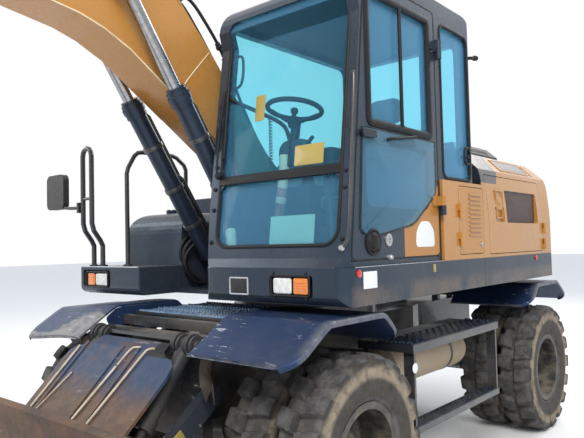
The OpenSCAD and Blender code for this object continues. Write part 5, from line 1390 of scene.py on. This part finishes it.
# A box with rounded corners (a superellipsoid of power corner), each face bulged by 1 less the square of
# its place in both directions
def pillowPart(low, high, bulge, corner, steps=18):
    low, high = np.array(low), np.array(high)
    middle, half = (low + high) / 2, (high - low) / 2
    parts = []
    t = np.linspace(-1, 1, steps)
    a, b = np.meshgrid(t, t, indexing="ij")
    for axis in range(3):
        for sign in (-1, 1):
            cube = np.zeros((steps, steps, 3))
            cube[..., axis] = sign
            cube[..., (axis + 1) % 3] = a
            cube[..., (axis + 2) % 3] = b
            cube /= (np.abs(cube) ** corner).sum(-1, keepdims=True) ** (1 / corner)
            level = 1 - np.abs(cube) ** 2
            cube[..., axis] *= 1 + bulge * level[..., (axis + 1) % 3] * level[..., (axis + 2) % 3]
            parts.append(gridPart(middle + half * cube, closeCols=False))
    return parts


def applyModifiers(piece):
    depsgraph = bpy.context.evaluated_depsgraph_get()
    mesh = bpy.data.meshes.new_from_object(piece.evaluated_get(depsgraph))
    old = piece.data
    piece.modifiers.clear()
    piece.data = mesh
    bpy.data.meshes.remove(old)


# Evened by voxels, then cloth under pressure; no point moves further than cap, or out of its place by
# more than a margin
def blowUp(piece, low, high, cap, how):
    remesh = piece.modifiers.new("even", "REMESH")
    remesh.mode = "VOXEL"
    remesh.voxel_size = how["voxel"]
    applyModifiers(piece)
    start = np.empty(len(piece.data.vertices) * 3)
    piece.data.vertices.foreach_get("co", start)
    cloth = piece.modifiers.new("cloth", "CLOTH")
    settings = cloth.settings
    settings.use_pressure = True
    settings.uniform_pressure_force = how["pressure"]
    settings.effector_weights.gravity = 0.0
    settings.quality = how["quality"]
    settings.tension_stiffness = how["tension"]
    settings.mass = how["mass"]
    for frameNumber in range(1, how["frames"] + 1):
        scene.frame_set(frameNumber)
    applyModifiers(piece)
    scene.frame_set(1)
    end = np.empty_like(start)
    piece.data.vertices.foreach_get("co", end)
    start, end = start.reshape(-1, 3), end.reshape(-1, 3)
    move = end - start
    length = np.maximum(np.linalg.norm(move, axis=1, keepdims=True), 1e-9)
    end = start + move * np.minimum(1, cap / length)
    end = np.clip(end, np.array(low) - how["margin"], np.array(high) + how["margin"])
    piece.data.vertices.foreach_set("co", end.ravel())
    piece.data.update()


# Sewn channels: grooves across the face that is sat on or leant on, fading out towards its sides
def sewChannels(piece, look, how):
    points = np.empty(len(piece.data.vertices) * 3)
    piece.data.vertices.foreach_get("co", points)
    points = points.reshape(-1, 3)
    low, high = np.array(look["low"]), np.array(look["high"])
    share = (points - low) / (high - low)
    sides = smoothStep(share[:, 0], 0.12, 0.25) * smoothStep(1 - share[:, 0], 0.12, 0.25)

    def groove(place, count):
        return how["channel"] * np.exp(-((place * count) % 1 - 0.5) ** 2 / how["channelWidth"])
    if look["channels"] == "x":
        points[:, 2] -= groove(share[:, 1], 5) * smoothStep(share[:, 2], 0.7, 1.0) * sides
    if look["channels"] == "z":
        points[:, 1] += groove(share[:, 2], 6) * smoothStep(1 - share[:, 1], 0.7, 1.0) * sides
    piece.data.vertices.foreach_set("co", points.ravel())
    piece.data.update()


for name, look in seatLook.items():
    pillow = pillowPart(look["low"], look["high"], cushionLook["bulge"], cushionLook["corner"])
    cushion = makePiece(name, pillow, "seat_cloth", "upper", angle=180)
    blowUp(cushion, look["low"], look["high"], look["cap"], cushionLook)
    sewChannels(cushion, look, cushionLook)
    cushion.data.materials.clear()
    cushion.data.materials.append(materials["seat_cloth"])
    cushion.data.polygons.foreach_set("use_smooth", np.ones(len(cushion.data.polygons), bool))
    smooth = cushion.modifiers.new("smooth", "SUBSURF")
    smooth.levels = smooth.render_levels = 1
    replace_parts(cushion, "seat_cushions")
print("seat made")


# Stage: floor, white surroundings for the camera and for reflections, soft light

stageLook = {"floor": (0.90, 0.88, 0.85), "floorSize": 60.0, "sky": (0.80, 0.87, 0.97), "skyStrength": 0.95}


def buildStage(look):
    size = look["floorSize"]
    mesh = bpy.data.meshes.new("floor")
    mesh.from_pydata([(-size, -size, 0), (size, -size, 0), (size, size, 0), (-size, size, 0)], [],
                     [(0, 1, 2, 3)])
    floor = bpy.data.objects.new("floor", mesh)
    scene.collection.objects.link(floor)
    material, tree, shader = newMaterial("floor")
    shader.inputs["Base Color"].default_value = (*look["floor"], 1)
    shader.inputs["Roughness"].default_value = 0.9
    floor.data.materials.append(material)
    world = bpy.data.worlds.new("studio")
    scene.world = world
    world.use_nodes = True
    tree = world.node_tree
    light = tree.nodes["Background"]
    light.inputs["Color"].default_value = (*look["sky"], 1)
    light.inputs["Strength"].default_value = look["skyStrength"]
    seen = tree.nodes.new("ShaderNodeBackground")
    seen.inputs["Color"].default_value = (1, 1, 1, 1)
    seen.inputs["Strength"].default_value = 1.0
    path = tree.nodes.new("ShaderNodeLightPath")
    share = mathOf(tree, "MAXIMUM", path.outputs["Is Camera Ray"], path.outputs["Is Transmission Ray"])
    share = mathOf(tree, "MAXIMUM", share, path.outputs["Is Glossy Ray"])
    mix = tree.nodes.new("ShaderNodeMixShader")
    link(tree, share, mix.inputs[0])
    link(tree, light.outputs[0], mix.inputs[1])
    link(tree, seen.outputs[0], mix.inputs[2])
    link(tree, mix.outputs[0], tree.nodes["World Output"].inputs["Surface"])


buildStage(stageLook)

lightLooks = {
    "key": {"place": (6.5, -7.5, 9.0), "size": (5, 4), "power": 1300},
    "fill": {"place": (-8.0, -5.0, 6.0), "size": (6, 5), "power": 300},
    "back": {"place": (1.0, 10.0, 9.0), "size": (8, 4), "power": 500},
}
for name, look in lightLooks.items():
    data = bpy.data.lights.new(name, "AREA")
    data.shape = "RECTANGLE"
    data.size, data.size_y = look["size"]
    data.energy = look["power"]
    lamp = bpy.data.objects.new(name, data)
    scene.collection.objects.link(lamp)
    lamp.location = look["place"]
    aim = Vector((0, -0.5, 1.6)) - Vector(look["place"])
    lamp.rotation_euler = aim.to_track_quat("-Z", "Y").to_euler()


# Camera solved from the photograph: place, yaw, pitch, roll and focal length in pixels
cameraFit = {"place": (3.042, -3.714, 1.640), "yaw": 40.35, "pitch": 2.32, "roll": -1.34,
             "focal": 613.5, "imageWidth": 584, "sensor": 36.0}


def buildCamera(fit):
    yaw, pitch, roll = (math.radians(fit[key]) for key in ("yaw", "pitch", "roll"))
    ahead = Vector((-math.sin(yaw) * math.cos(pitch), math.cos(yaw) * math.cos(pitch), math.sin(pitch)))
    right = Vector((math.cos(yaw), math.sin(yaw), 0))
    up = right.cross(ahead)
    rightRolled = math.cos(roll) * right + math.sin(roll) * up
    upRolled = -math.sin(roll) * right + math.cos(roll) * up
    data = bpy.data.cameras.new("camera")
    data.sensor_width = fit["sensor"]
    data.lens = fit["focal"] / fit["imageWidth"] * fit["sensor"]
    data.clip_end = 200
    camera = bpy.data.objects.new("camera", data)
    scene.collection.objects.link(camera)
    turn = Matrix((rightRolled, upRolled, -ahead)).transposed().to_4x4()
    camera.matrix_world = Matrix.Translation(fit["place"]) @ turn
    scene.camera = camera


buildCamera(cameraFit)
scene.view_settings.view_transform = "Standard"
print("stage, lamps and camera made")
